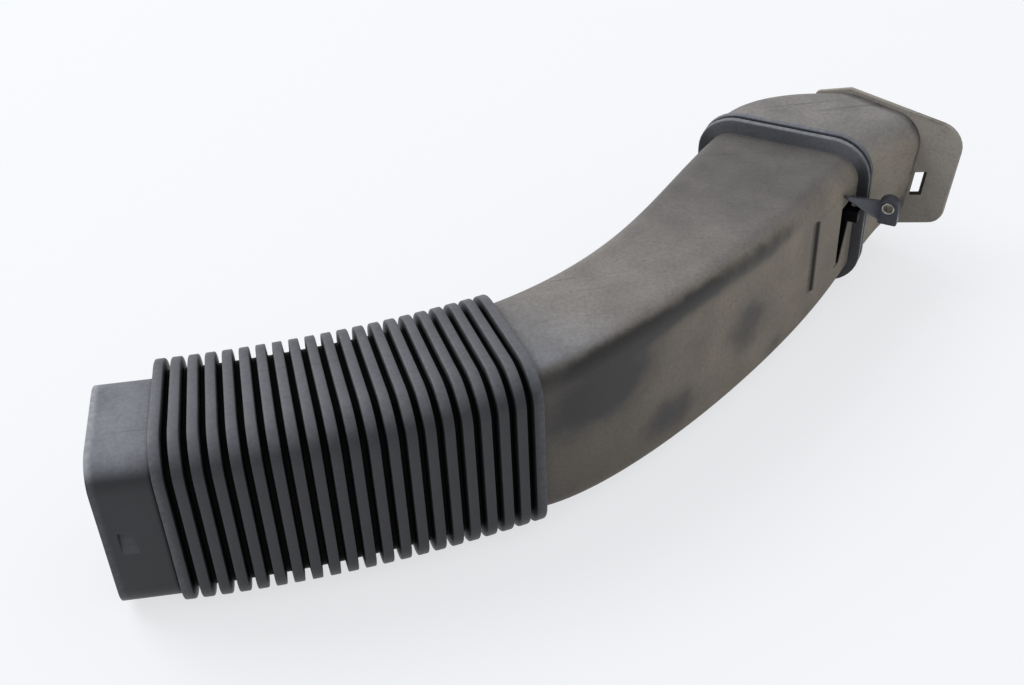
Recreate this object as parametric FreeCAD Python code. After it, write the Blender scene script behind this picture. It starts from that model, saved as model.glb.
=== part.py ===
import FreeCAD, Part
import math
import os

# Air intake duct of an engine bay: a blown bellows duct, a moulded inlet mouth welded to its end flange,
# a fixing bracket that plugs into the duct's side, and the steel bush in the bracket's eye.
# Millimetres. The origin is the centre of the rear spigot's open end, +X runs into the bellows, +Z is up.

# Blown duct
WALL = 1.6
SPIGOT_LENGTH = 36.0
SPIGOT_WIDTH = 84.0
SPIGOT_HEIGHT = 113.0
SPIGOT_CORNER = 18.0

# Bellows: flat-crested folds at an even pitch, each turned a little on the one before
FOLD_COUNT = 21
FOLD_PITCH = 10.0
FOLD_CREST = 6.0
FOLD_DEPTH = 7.0
CREST_WIDTH = 97.0
CREST_HEIGHT = 127.0
CREST_CORNER = 23.0
BELLOWS_TURN_DEG = 15.0
BELLOWS_SIDE = 2.5
BELLOWS_RISE = 2.5

# Latch pocket in the spigot's outer side
LATCH_LENGTH = 9.0
LATCH_HEIGHT = 16.0
LATCH_DEPTH = 4.5
LATCH_INSET = 9.5

# Smooth duct: two wall curves in plan from the last fold to the end flange
FLANGE_X = 457.2
FLANGE_Y = 217.0
FLANGE_HEADING_DEG = 57.0
DUCT_END_WIDTH = 108.0
DUCT_END_TOP = 47.0
DUCT_END_DROP = 0.4
DUCT_END_CORNER = 17.5
DUCT_MID_RISE = 1.2
DUCT_MID_SAG = 4.2
DUCT_MID_CORNER = 13.0
INNER_HANDLE_START = 93.0
INNER_HANDLE_END = 105.0
INNER_TOE_DEG = 3.5
OUTER_HANDLE_START = 59.0
OUTER_HANDLE_END = 101.0
OUTER_TOE_DEG = 5.75
DUCT_STATIONS = 7

# Collar: end flange of the duct and root flange of the mouth, welded in the groove between two ridges
COLLAR_WIDTH = 124.0
COLLAR_CORNER = 28.0
COLLAR_TOP = 58.0
RIDGE_THICKNESS = 4.2
GROOVE_HALF = 1.5
GROOVE_DEPTH = 2.2

# Raised pad and bracket pocket on the duct's outer side, measured back from the flange
PAD_FROM = 64.0
PAD_TO = 28.0
PAD_BOTTOM = -24.0
PAD_TOP = 34.0
PAD_STEP = 1.6
POCKET_FROM = 26.0
POCKET_TO = 3.0
POCKET_TO_LOW = 19.0
POCKET_BOTTOM = -28.0
POCKET_TOP = 20.0
POCKET_DEPTH = 13.0

# Inlet mouth: a moulded box that turns from the collar to the front plate
MOUTH_WALL = 2.2
MOUTH_STEP = 4.0
MOUTH_ROOT_CORNER = 24.0
MOUTH_LEFT_HANDLE_START = 36.0
MOUTH_LEFT_HANDLE_END = 31.0
MOUTH_LEFT_HEADING_DEG = -19.0
MOUTH_RIGHT_HANDLE = 17.0
MOUTH_RIGHT_START_DEG = 46.0
MOUTH_RIGHT_END_DEG = 24.0
MOUTH_STATIONS = 5
BOX_LEFT = -48.0
BOX_RIGHT = 29.6
BOX_TOP = 53.0
BOX_BOTTOM = -40.0
BOX_CORNER = 22.0

# Front plate: its place from the collar, then its outline across to the outer side and up. The plate
# is swept back, so its foot, its clipped corner and its slot rise across it, and its sides lean outwards.
PLATE_HEADING_DEG = 38.4
PLATE_AHEAD = 68.2
PLATE_SHIFT = 32.2
PLATE_THICKNESS = 3.0
PLATE_LEFT = -56.0
PLATE_RIGHT = 60.0
PLATE_TOP = 56.5
PLATE_BOTTOM = -50.0
PLATE_RISE_DEG = 24.0
PLATE_LEAN_DEG = 6.0
PLATE_FOOT_RIGHT = -22.0
PLATE_CLIP = 28.0
PLATE_CORNER = 16.0
PLATE_CLIP_CORNER = 4.0
SLOT_WIDTH = 10.0
SLOT_HEIGHT = 20.4
SLOT_ACROSS = 36.6
SLOT_UP = 2.4
SLOT_HEADING_DEG = 90.0

# Fixing bracket, placed from the flange's near face: along it, across it and up
LUG_OUT = 15.0
LUG_UP = 11.0
LUG_RADIUS = 7.2
LUG_DROP = 13.6
LUG_NEAR = 2.0
LUG_THICKNESS = 8.0
WEB_THICKNESS = 4.0
WEB_TIP_BACK = 27.6
WEB_TIP_CLEAR = 1.2
WEB_TIP_UP = 35.0
WEB_TIP_DROP = 2.4
TONGUE_BACK = 19.0
TONGUE_LENGTH = 7.0
TONGUE_HEIGHT = 9.0
TONGUE_TOP = 17.0
TONGUE_ROOT = 0.8
BUSH_OUTER_RADIUS = 4.5
BUSH_BORE_RADIUS = 3.2
BUSH_STANDOUT = 0.6

UP = FreeCAD.Vector(0, 0, 1)
LEAST_RADIUS = 1.0


def plan(x, y):
    return FreeCAD.Vector(x, y, 0)


def heading(degrees):
    """Level unit vector at an angle from +X towards +Y."""
    a = math.radians(degrees)
    return plan(math.cos(a), math.sin(a))


def bezier(start, first, second, end, t):
    """Point at share t of a cubic curve with two handles."""
    s = 1.0 - t
    return start * s**3 + first * (3 * t * s * s) + second * (3 * t * t * s) + end * t**3


def through(start, middle, end, t):
    """Quadratic that has the three values at shares 0, one half and 1."""
    return start * (1 - t) * (1 - 2 * t) + 4 * middle * t * (1 - t) + end * t * (2 * t - 1)


def rounded(corners, radius, inset):
    """Closed loop through corners, drawn in by inset, with an arc that touches both sides at each."""
    r = max(radius - inset, LEAST_RADIUS)
    arcs = []
    for i, corner in enumerate(corners):
        back = (corners[i - 1] - corner).normalize()
        on = (corners[(i + 1) % len(corners)] - corner).normalize()
        half = back.getAngle(on) / 2
        middle = (back + on).normalize()
        point = corner + middle * (inset / math.sin(half))
        reach = r / math.tan(half)
        top_of_arc = point + middle * (r / math.sin(half) - r)
        arcs.append((point + back * reach, top_of_arc, point + on * reach))
    edges = []
    for i, arc in enumerate(arcs):
        edges.append(Part.makeLine(arcs[i - 1][2], arc[0]))
        edges.append(Part.Arc(*arc).toShape())
    return Part.Wire(edges)


def ring(left, right, bottom, top, corner, inset=0.0, lean=0.0):
    """Upright rounded section between two plan points; with a lean its sides go outwards as they rise."""
    out = (right - left).normalize() * lean + UP
    corners = [left + out * bottom, left + out * top, right + out * top, right + out * bottom]
    return rounded(corners, corner, inset)


def prism(wire, direction, length):
    return Part.Face(wire).extrude(direction * length)


def slab(points, direction, length):
    return prism(Part.makePolygon(points + points[:1]), direction, length)


def block(origin, along, across, sizes):
    """Box on a level frame: from the origin along, across and up by the three sizes."""
    a = along * sizes[0]
    b = across * sizes[1]
    return slab([origin, origin + a, origin + a + b, origin + b], UP, sizes[2])


def fused(shapes):
    return shapes[0].multiFuse(shapes[1:]).removeSplitter()


# Frame of the bellows: the folds turn about one upright axis, level with the first fold's middle
EAST = heading(0)
NORTH = heading(90)
FOLD_TURN_DEG = BELLOWS_TURN_DEG / (FOLD_COUNT - 1)
BEND_RADIUS = FOLD_PITCH / math.radians(FOLD_TURN_DEG)
FIRST_FOLD = plan(SPIGOT_LENGTH + FOLD_CREST / 2, BELLOWS_SIDE)
BEND_CENTRE = FIRST_FOLD + NORTH * BEND_RADIUS
FLOOR = BELLOWS_RISE - CREST_HEIGHT / 2
ROOT_WIDTH = CREST_WIDTH - 2 * FOLD_DEPTH
ROOT_BOTTOM = FLOOR + FOLD_DEPTH
ROOT_TOP = FLOOR + CREST_HEIGHT - FOLD_DEPTH
ROOT_CORNER = CREST_CORNER - FOLD_DEPTH


def crest_tube(inset, start, end):
    """Tube of the crest's section drawn in by inset, between two distances from the fold's middle."""
    half = NORTH * (CREST_WIDTH / 2)
    centre = FIRST_FOLD + EAST * start
    top = FLOOR + CREST_HEIGHT
    return prism(ring(centre + half, centre - half, FLOOR, top, CREST_CORNER, inset), EAST, end - start)


def fold(rear, front, hole_rear):
    """Hollow fold: a flat crest on the root tube, mitred halfway to its neighbours."""
    crest = FOLD_CREST / 2
    outside = crest_tube(0.0, -crest, crest).fuse(crest_tube(FOLD_DEPTH, -rear, front))
    hole = crest_tube(FOLD_DEPTH + WALL, -hole_rear, front)
    inside = crest_tube(WALL, WALL - crest, crest - WALL).fuse(hole)
    reach = BEND_RADIUS + CREST_WIDTH
    sides = [BEND_CENTRE + heading(-90 + turn * FOLD_TURN_DEG / 2) * reach for turn in (-1, 1)]
    wedge = slab([BEND_CENTRE + UP * FLOOR] + [p + UP * FLOOR for p in sides], UP, CREST_HEIGHT)
    return outside.cut(inside).common(wedge)


def turned(shape, count):
    """Copy of a fold, carried round the bend by a number of folds."""
    copy = shape.copy()
    copy.rotate(BEND_CENTRE, UP, count * FOLD_TURN_DEG)
    return copy


def bellows():
    crest = FOLD_CREST / 2
    middle = fold(FOLD_PITCH, FOLD_PITCH, FOLD_PITCH)
    first = fold(crest, FOLD_PITCH, crest - WALL)
    last = turned(fold(FOLD_PITCH, crest, FOLD_PITCH), FOLD_COUNT - 1)
    return [first] + [turned(middle, i) for i in range(1, FOLD_COUNT - 1)] + [last]


# Plan of the smooth duct
TURN = heading(BELLOWS_TURN_DEG)
TURN_LEFT = heading(BELLOWS_TURN_DEG + 90)
DUCT_START = BEND_CENTRE - TURN_LEFT * BEND_RADIUS + TURN * (FOLD_CREST / 2)
AHEAD = heading(FLANGE_HEADING_DEG)
LEFT = heading(FLANGE_HEADING_DEG + 90)
RIGHT = LEFT * -1.0
FLANGE = plan(FLANGE_X, FLANGE_Y)
DUCT_END_BOTTOM = ROOT_BOTTOM - DUCT_END_DROP


def duct_walls(t):
    """Inner and outer wall of the smooth duct in plan at share t."""
    a = DUCT_START + TURN_LEFT * (ROOT_WIDTH / 2)
    b = DUCT_START - TURN_LEFT * (ROOT_WIDTH / 2)
    c = FLANGE + LEFT * (DUCT_END_WIDTH / 2)
    d = FLANGE - LEFT * (DUCT_END_WIDTH / 2)
    c1 = c - heading(FLANGE_HEADING_DEG - INNER_TOE_DEG) * INNER_HANDLE_END
    d1 = d - heading(FLANGE_HEADING_DEG - OUTER_TOE_DEG) * OUTER_HANDLE_END
    inner = bezier(a, a + TURN * INNER_HANDLE_START, c1, c, t)
    outer = bezier(b, b + TURN * OUTER_HANDLE_START, d1, d, t)
    return inner, outer


def duct_ring(t, inset):
    inner, outer = duct_walls(t)
    bottom = through(ROOT_BOTTOM, ROOT_BOTTOM - DUCT_MID_SAG, DUCT_END_BOTTOM, t)
    top = through(ROOT_TOP, ROOT_TOP + DUCT_MID_RISE, DUCT_END_TOP, t)
    corner = through(ROOT_CORNER, DUCT_MID_CORNER, DUCT_END_CORNER, t)
    return ring(inner, outer, bottom, top, corner, inset)


def smooth_duct(inset):
    shares = [i / (DUCT_STATIONS - 1) for i in range(DUCT_STATIONS)]
    return Part.makeLoft([duct_ring(t, inset) for t in shares], True)


def collar(inset, start, length):
    """Plate of the collar's outline drawn in by inset, from a distance ahead of the duct's end."""
    half = LEFT * (COLLAR_WIDTH / 2)
    centre = FLANGE + AHEAD * start
    return prism(ring(centre + half, centre - half, FLOOR, COLLAR_TOP, COLLAR_CORNER, inset), AHEAD, length)


def at_flange(back, across, up):
    """Point measured back from the flange's near face, across to the outer side and up."""
    return FLANGE - AHEAD * back + RIGHT * across + UP * up


def outer_side(back):
    """How far across the duct's outer wall is at a distance back from the flange."""
    low = 0.0
    high = 1.0
    for _ in range(40):
        mid = (low + high) / 2
        if (FLANGE - duct_walls(mid)[1]).dot(AHEAD) > back:
            low = mid
        else:
            high = mid
    return (duct_walls(high)[1] - FLANGE).dot(RIGHT)


def pad():
    """Raised pad with a flat outer face on the duct's outer side."""
    outer_from = outer_side(PAD_FROM) + PAD_STEP
    outer_to = outer_side(PAD_TO) + PAD_STEP
    root = outer_side(PAD_FROM) - WALL
    corners = [(PAD_FROM, root), (PAD_FROM, outer_from), (PAD_TO, outer_to), (PAD_TO, root)]
    return slab([at_flange(back, across, PAD_BOTTOM) for back, across in corners], UP, PAD_TOP - PAD_BOTTOM)


POCKET_FLOOR = outer_side(POCKET_FROM) - POCKET_DEPTH


def pocket(grow):
    """Pocket for the bracket's tongue, narrower at its foot; grown, it is the blister inside the duct."""
    low = POCKET_BOTTOM - grow
    high = POCKET_TOP + grow
    slope = (POCKET_TO_LOW - POCKET_TO) / (POCKET_TOP - POCKET_BOTTOM)
    front = POCKET_TO - grow * math.hypot(1.0, slope)
    front_low = front + slope * (POCKET_TOP - low)
    front_high = front + slope * (POCKET_TOP - high)
    rear = POCKET_FROM + grow
    outline = [(rear, low), (rear, high), (front_high, high), (front_low, low)]
    return slab([at_flange(back, POCKET_FLOOR - grow, up) for back, up in outline], RIGHT, COLLAR_WIDTH)


def latch(grow):
    """Latch pocket in the spigot's outer side, its floor sloping out towards the bottom."""
    face_y = -SPIGOT_WIDTH / 2
    clear_y = face_y - SPIGOT_CORNER
    low = -LATCH_HEIGHT / 2 - grow
    high = LATCH_HEIGHT / 2 + grow
    outline = [(clear_y, low), (face_y + grow, low), (face_y + LATCH_DEPTH + grow, high), (clear_y, high)]
    points = [FreeCAD.Vector(LATCH_INSET - grow, y, z) for y, z in outline]
    return slab(points, EAST, LATCH_LENGTH + 2 * grow)


def spigot_tube(inset, start, end):
    half = NORTH * (SPIGOT_WIDTH / 2)
    centre = plan(start, 0)
    top = SPIGOT_HEIGHT / 2
    return prism(ring(centre + half, centre - half, -top, top, SPIGOT_CORNER, inset), EAST, end - start)


# The duct's end flange stops at the weld, halfway along the groove
JOINT = RIDGE_THICKNESS + GROOVE_HALF
MOUTH_ROOT = JOINT + GROOVE_HALF + RIDGE_THICKNESS
PAST = 2 * WALL


def build_duct():
    rear_hole = spigot_tube(WALL, -PAST, SPIGOT_LENGTH + WALL).cut(latch(WALL))
    spigot = spigot_tube(0.0, 0.0, SPIGOT_LENGTH).cut(latch(0.0)).cut(rear_hole)
    folds = bellows()
    folds[0] = folds[0].cut(rear_hole)
    ridge = collar(0.0, 0.0, RIDGE_THICKNESS)
    neck = collar(GROOVE_DEPTH, 0.0, JOINT)
    end_hole = prism(duct_ring(1.0, WALL), AHEAD, JOINT + PAST)
    inside = fused([smooth_duct(WALL), end_hole]).cut(pocket(WALL))
    front = fused([smooth_duct(0.0), pad(), ridge, neck]).cut(pocket(0.0)).cut(inside)
    return fused([spigot] + folds + [front])


# Plan of the inlet mouth
SIDE_LEAN = math.tan(math.radians(PLATE_LEAN_DEG))
RISE = math.tan(math.radians(PLATE_RISE_DEG))
PLATE_AXIS = heading(PLATE_HEADING_DEG)
PLATE_RIGHT_AXIS = heading(PLATE_HEADING_DEG - 90)
PLATE = FLANGE + AHEAD * MOUTH_ROOT + PLATE_AXIS * PLATE_AHEAD + PLATE_RIGHT_AXIS * PLATE_SHIFT


def on_plate(across, up):
    """Point on the plate's near face, across to the outer side and up."""
    return PLATE + PLATE_RIGHT_AXIS * across + UP * up


def mouth_walls(t):
    """Left and right wall of the mouth's turn in plan at share t."""
    half = LEFT * (COLLAR_WIDTH / 2 - MOUTH_STEP)
    root = FLANGE + AHEAD * MOUTH_ROOT
    a = root + half
    b = root - half
    c = on_plate(BOX_LEFT, 0.0)
    d = on_plate(BOX_RIGHT, 0.0)
    a1 = a + AHEAD * MOUTH_LEFT_HANDLE_START
    c1 = c - heading(MOUTH_LEFT_HEADING_DEG) * MOUTH_LEFT_HANDLE_END
    b1 = b + heading(MOUTH_RIGHT_START_DEG) * MOUTH_RIGHT_HANDLE
    d1 = d - heading(MOUTH_RIGHT_END_DEG) * MOUTH_RIGHT_HANDLE
    return bezier(a, a1, c1, c, t), bezier(b, b1, d1, d, t)


def mouth_ring(t, inset):
    left, right = mouth_walls(t)
    ease = t * t * (3.0 - 2.0 * t)
    root_top = COLLAR_TOP - MOUTH_STEP
    root_bottom = FLOOR + MOUTH_STEP
    bottom = root_bottom + (BOX_BOTTOM - root_bottom) * ease
    top = root_top + (BOX_TOP - root_top) * ease
    corner = MOUTH_ROOT_CORNER + (BOX_CORNER - MOUTH_ROOT_CORNER) * t
    return ring(left, right, bottom, top, corner, inset, SIDE_LEAN * ease)


def mouth_box(inset):
    shares = [i / (MOUTH_STATIONS - 1) for i in range(MOUTH_STATIONS)]
    return Part.makeLoft([mouth_ring(t, inset) for t in shares], True)


def front_plate():
    """Plate with rounded corners, a rising foot and a clipped upper corner, and a slot beside the box."""
    foot_left = PLATE_RIGHT - (PLATE_FOOT_RIGHT - PLATE_BOTTOM) / RISE
    outline = [
        (PLATE_LEFT, PLATE_BOTTOM, PLATE_CORNER),
        (foot_left, PLATE_BOTTOM, PLATE_CLIP_CORNER),
        (PLATE_RIGHT + SIDE_LEAN * PLATE_FOOT_RIGHT, PLATE_FOOT_RIGHT, PLATE_CORNER),
        (PLATE_RIGHT + SIDE_LEAN * PLATE_TOP, PLATE_TOP, PLATE_CORNER),
        (PLATE_LEFT + PLATE_CLIP, PLATE_TOP, PLATE_CLIP_CORNER),
        (PLATE_LEFT, PLATE_TOP - RISE * PLATE_CLIP, PLATE_CLIP_CORNER),
    ]
    body = slab([on_plate(across, up) for across, up, _ in outline], PLATE_AXIS, PLATE_THICKNESS)
    for across, up, radius in outline:
        here = on_plate(across, up) + PLATE_AXIS * (PLATE_THICKNESS / 2)
        edges = [e for e in body.Edges if (e.CenterOfMass - here).Length < WALL / 10]
        body = body.makeFillet(radius, edges)
    through_slot = heading(SLOT_HEADING_DEG)
    near = on_plate(SLOT_ACROSS, SLOT_UP) - through_slot * (2 * PLATE_THICKNESS)
    half_width = (PLATE_RIGHT_AXIS + UP * RISE).normalize() * (SLOT_WIDTH / 2)
    half_height = (PLATE_RIGHT_AXIS * SIDE_LEAN + UP).normalize() * (SLOT_HEIGHT / 2)
    signs = [(-1, -1), (1, -1), (1, 1), (-1, 1)]
    corners = [near + half_width * i + half_height * j for i, j in signs]
    return body.cut(slab(corners, through_slot, 5 * PLATE_THICKNESS))


def build_mouth():
    neck = collar(GROOVE_DEPTH, JOINT, MOUTH_ROOT - JOINT)
    ridge = collar(0.0, JOINT + GROOVE_HALF, RIDGE_THICKNESS)
    outside = fused([neck, ridge, mouth_box(0.0), front_plate()])
    root_hole = prism(duct_ring(1.0, WALL), AHEAD, MOUTH_ROOT)
    end_hole = prism(mouth_ring(1.0, MOUTH_WALL), PLATE_AXIS, 2 * PLATE_THICKNESS)
    return outside.cut(fused([root_hole, mouth_box(MOUTH_WALL), end_hole]))


LUG_ACROSS = COLLAR_WIDTH / 2 + LUG_OUT
WEB_TIP_ACROSS = outer_side(WEB_TIP_BACK) + WEB_TIP_CLEAR


def build_bracket():
    """Lug with the bush's eye, a web back along the duct, and a tongue from it to the pocket's floor."""
    eye = at_flange(-LUG_NEAR, LUG_ACROSS, LUG_UP)
    foot = eye - RIGHT * LUG_RADIUS - UP * LUG_DROP
    lug = Part.makeCylinder(LUG_RADIUS, LUG_THICKNESS, eye, AHEAD)
    lug = lug.fuse(block(foot, AHEAD, RIGHT, (LUG_THICKNESS, 2 * LUG_RADIUS, LUG_DROP)))
    web_front = -LUG_NEAR - WEB_THICKNESS
    web_across = LUG_ACROSS - LUG_RADIUS
    outline = [
        at_flange(web_front, web_across, LUG_UP - LUG_DROP),
        at_flange(web_front, web_across, LUG_UP + LUG_RADIUS / 2),
        at_flange(WEB_TIP_BACK, WEB_TIP_ACROSS, WEB_TIP_UP),
        at_flange(WEB_TIP_BACK, WEB_TIP_ACROSS, WEB_TIP_UP - WEB_TIP_DROP),
    ]
    run = (outline[1] - outline[2]).cross(UP).normalize()
    web = slab(outline, run, WEB_THICKNESS)
    splay = (web_across - WEB_TIP_ACROSS) / (WEB_TIP_BACK - web_front)
    tongue_front = TONGUE_BACK - TONGUE_LENGTH
    tongue_end = web_across - splay * (tongue_front - web_front) + TONGUE_ROOT
    tongue_low = at_flange(TONGUE_BACK, POCKET_FLOOR, TONGUE_TOP - TONGUE_HEIGHT)
    tongue = block(tongue_low, AHEAD, RIGHT, (TONGUE_LENGTH, tongue_end - POCKET_FLOOR, TONGUE_HEIGHT))
    bore = Part.makeCylinder(BUSH_OUTER_RADIUS, 3 * LUG_THICKNESS, eye - AHEAD * LUG_THICKNESS, AHEAD)
    return fused([lug, web, tongue]).cut(bore)


def build_bush():
    eye = at_flange(BUSH_STANDOUT - LUG_NEAR, LUG_ACROSS, LUG_UP)
    length = LUG_THICKNESS + 2 * BUSH_STANDOUT
    tube = Part.makeCylinder(BUSH_OUTER_RADIUS, length, eye, AHEAD)
    return tube.cut(Part.makeCylinder(BUSH_BORE_RADIUS, length, eye, AHEAD))


os.makedirs("parts", exist_ok=True)
nodes = {
    "bellows_duct": build_duct(),
    "inlet_mouth": build_mouth(),
    "fixing_bracket": build_bracket(),
    "bracket_bush": build_bush(),
}
for name, shape in nodes.items():
    print(name, shape.isValid(), len(shape.Solids), round(shape.Volume / 1000, 1), shape.BoundBox)
    shape.exportStep("parts/" + name + ".step")
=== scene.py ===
# %% [markdown]
# # A dusty air intake duct
# A blown plastic duct lies on a pale floor: a rectangular spigot, a bellows, a smooth bend, a ridged
# collar, a scoop mouth with a front plate, and a small bracket with a steel bush. The imported solids are
# the frame. Each visible piece is a surface worked out with numpy over them, so that edges are rounded
# as moulded edges are, and every point can carry its own amount of dust and wear, and of painted
# highlight, sheen and shade.

# %% Load the frame
import math

import bpy
import numpy as np
from mathutils import Matrix, Vector, geometry


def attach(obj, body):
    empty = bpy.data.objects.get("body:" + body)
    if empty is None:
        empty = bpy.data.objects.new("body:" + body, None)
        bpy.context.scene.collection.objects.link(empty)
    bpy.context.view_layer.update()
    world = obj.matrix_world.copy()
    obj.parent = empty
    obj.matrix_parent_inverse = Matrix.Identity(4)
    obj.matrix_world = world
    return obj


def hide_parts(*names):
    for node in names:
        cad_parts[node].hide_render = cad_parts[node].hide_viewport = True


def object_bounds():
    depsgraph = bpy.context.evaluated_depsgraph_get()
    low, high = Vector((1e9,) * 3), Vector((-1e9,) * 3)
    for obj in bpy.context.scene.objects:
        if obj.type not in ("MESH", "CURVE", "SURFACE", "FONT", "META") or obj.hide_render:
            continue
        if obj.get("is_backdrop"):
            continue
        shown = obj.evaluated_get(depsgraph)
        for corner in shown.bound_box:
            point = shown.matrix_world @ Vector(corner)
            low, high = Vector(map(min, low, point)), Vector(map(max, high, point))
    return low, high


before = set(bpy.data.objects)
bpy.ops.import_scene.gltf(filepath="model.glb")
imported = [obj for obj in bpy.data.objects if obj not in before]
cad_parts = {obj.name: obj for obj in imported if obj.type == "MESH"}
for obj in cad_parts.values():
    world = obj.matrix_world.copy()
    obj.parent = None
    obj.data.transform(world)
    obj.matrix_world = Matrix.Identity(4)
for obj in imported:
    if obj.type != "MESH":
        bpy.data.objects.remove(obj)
cad_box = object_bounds()
MM = 0.001
print("CAD box in mm:", [[round(v / MM, 1) for v in corner] for corner in cad_box])

# %% [markdown]
# ## Grids
# Almost every wall here is a grid of points: a closed ring in one direction, and stations along the duct
# in the other. A tube with a wall is one grid too, if its stations run along the outside and come back
# along the inside. One helper turns such a grid into faces, and one makes the finished object.


# %% Small formulas
def unit(degrees):
    """Level direction at an angle from +X towards +Y: cosine and sine."""
    a = np.radians(degrees)
    return np.stack([np.cos(a), np.sin(a)], axis=-1)


def smooth_step(low, high, value):
    """0 below low, 1 above high, and the cubic 3t^2 - 2t^3 between them."""
    t = np.clip((value - low) / (high - low), 0.0, 1.0)
    return t * t * (3.0 - 2.0 * t)


def band(low, high, soft, value):
    """1 between low and high, 0 outside, with an edge of width soft centred on each limit."""
    rise = smooth_step(low - soft / 2, low + soft / 2, value)
    fall = smooth_step(high - soft / 2, high + soft / 2, value)
    return rise * (1.0 - fall)


def bezier(start, first, second, end, t):
    """Points of a cubic curve with two handles, one row per share t."""
    t = np.asarray(t)[:, None]
    s = 1.0 - t
    return s**3 * start + 3 * t * s**2 * first + 3 * t**2 * s * second + t**3 * end


def through(start, middle, end, t):
    """Quadratic that has the three values at shares 0, one half and 1."""
    return start * (1 - t) * (1 - 2 * t) + 4 * middle * t * (1 - t) + end * t * (2 * t - 1)


print("the smooth step at a quarter of its way:", smooth_step(0.0, 1.0, 0.25))


# %% From grids to a piece
def grid_faces(rows, columns):
    """Quads of a grid that closes both ways: each point with the next in its row and in its column."""
    i = np.arange(rows)[:, None]
    j = np.arange(columns)[None, :]
    here = i * columns
    ahead = ((i + 1) % rows) * columns
    beside = (j + 1) % columns
    return np.stack([here + j, here + beside, ahead + beside, ahead + j], axis=-1).reshape(-1, 4)


# Layers of each point: dust, with painted sky sheen on some tops; the film's warmth; wiped patches and
# painted shade; rubbed wear and painted highlight; painted shade as near black.
LAYERS = ("dust", "warm", "wiped", "wear", "deep")


def tube_shell(grid, **layers):
    """A grid that closes both ways, as points, faces, and the values that its points carry."""
    rows, columns = grid.shape[:2]
    carried = {name: np.broadcast_to(v, (rows, columns)).reshape(-1) for name, v in layers.items()}
    return grid.reshape(-1, 3), grid_faces(rows, columns).tolist(), carried


def signed_volume(points, faces):
    """Six times the volume inside a closed shell: the sum over its triangles of a . (b x c)."""
    fans = np.array([(f[0], f[k], f[k + 1]) for f in faces for k in range(1, len(f) - 1)])
    a, b, c = points[fans[:, 0]], points[fans[:, 1]], points[fans[:, 2]]
    return np.einsum("ij,ij->", a, np.cross(b, c))


def add_piece(name, shells, node, material):
    """One object from closed shells in mm, faces turned outwards, standing for a node of the frame."""
    points = np.concatenate([s[0] for s in shells])
    starts = np.cumsum([0] + [len(s[0]) for s in shells])
    faces = []
    for s, first in zip(shells, starts.tolist()):
        turn = 1 if signed_volume(s[0], s[1]) > 0 else -1
        faces += [[k + first for k in face[::turn]] for face in s[1]]
    mesh = bpy.data.meshes.new(name)
    mesh.from_pydata((points * MM).tolist(), [], faces)
    for layer in LAYERS:
        values = np.concatenate([np.broadcast_to(s[2].get(layer, 0.0), len(s[0])) for s in shells])
        mesh.attributes.new(layer, "FLOAT", "POINT").data.foreach_set("value", values.astype(np.float32))
    mesh.shade_smooth()
    mesh.materials.append(material)
    piece = bpy.data.objects.new(name, mesh)
    bpy.context.scene.collection.objects.link(piece)
    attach(piece, "root")
    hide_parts(node)
    print(f"{name}: {len(points)} points, {len(faces)} faces")
    return piece


print("amounts that each point carries:", ", ".join(LAYERS))


# %% [markdown]
# ## Rounded rectangles
# Every section of the duct is an upright rounded rectangle between a left and a right wall. A sample on
# it is a corner of the inner rectangle plus the corner radius along an outward direction, so drawing the
# whole section in by some amount only shortens that radius.


# %% Section samples and rings
# Rows in a table of samples, and columns in a table of stations.
OUT_ACROSS, OUT_UP = 2, 3
PLAN, BOTTOM, TOP, CORNER, INSET = slice(0, 4), 4, 5, 6, 7


def section_samples(bottom, left, top, right, corner):
    """Samples round a section: shares of the inner half width and height, and the outward direction.

    Straight stretches move along the inner rectangle with one direction. Corners stay on one of its
    corners and turn the direction by a quarter."""
    runs = []
    sides = ((bottom, -90, (-1, -1), (1, -1)), (left, 0, (1, -1), (1, 1)),
             (top, 90, (1, 1), (-1, 1)), (right, 180, (-1, 1), (-1, -1)))
    for count, angle, first, last in sides:
        line = np.linspace(first, last, count + 2)[1:-1]
        runs.append(np.hstack([line, np.broadcast_to(unit(angle), (count, 2))]))
        turn = unit(np.linspace(angle, angle + 90, corner + 1))
        runs.append(np.hstack([np.broadcast_to(last, (corner + 1, 2)), turn]))
    return np.vstack(runs).T


def rows_of(left, right, bottom, top, corner, inset):
    """Stations as one table: both walls in plan, bottom, top, corner radius and inset of each."""
    count = len(left)
    numbers = [np.broadcast_to(v, count) for v in (bottom, top, corner, inset)]
    return np.column_stack([left, right, *numbers])


def rings(stations, samples):
    """Rounded rectangles, one row of points per station, each drawn in by its inset."""
    share_x, share_z, out_x, out_z = samples
    left, right = stations[:, 0:2], stations[:, 2:4]
    bottom, top, corner, inset = (stations[:, k:k + 1] for k in (BOTTOM, TOP, CORNER, INSET))
    gap = left - right
    width = np.linalg.norm(gap, axis=1)[:, None]
    across = share_x * (width / 2 - corner) + (corner - inset) * out_x
    height = (top + bottom) / 2 + share_z * ((top - bottom) / 2 - corner) + (corner - inset) * out_z
    flat = ((left + right) / 2)[:, None, :] + across[..., None] * (gap / width)[:, None, :]
    return np.concatenate([flat, height[..., None]], axis=-1)


def eased_edge(radius, steps):
    """Quarter round from a face to a side: distance along and inset, from (0, radius) to (radius, 0)."""
    q = np.linspace(0.0, math.pi / 2, steps)
    return radius * (1.0 - np.cos(q)), radius * (1.0 - np.sin(q))


print("samples of a section with 10 on a side and 5 steps in a corner:",
      section_samples(10, 10, 10, 10, 5).shape[1])


# %% [markdown]
# ## Sizes
# The sizes below are the duct's own, in millimetres, from the spigot's open end at the origin. The
# bellows turns about one upright axis, and the smooth duct lies between two curves drawn with handles.

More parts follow.
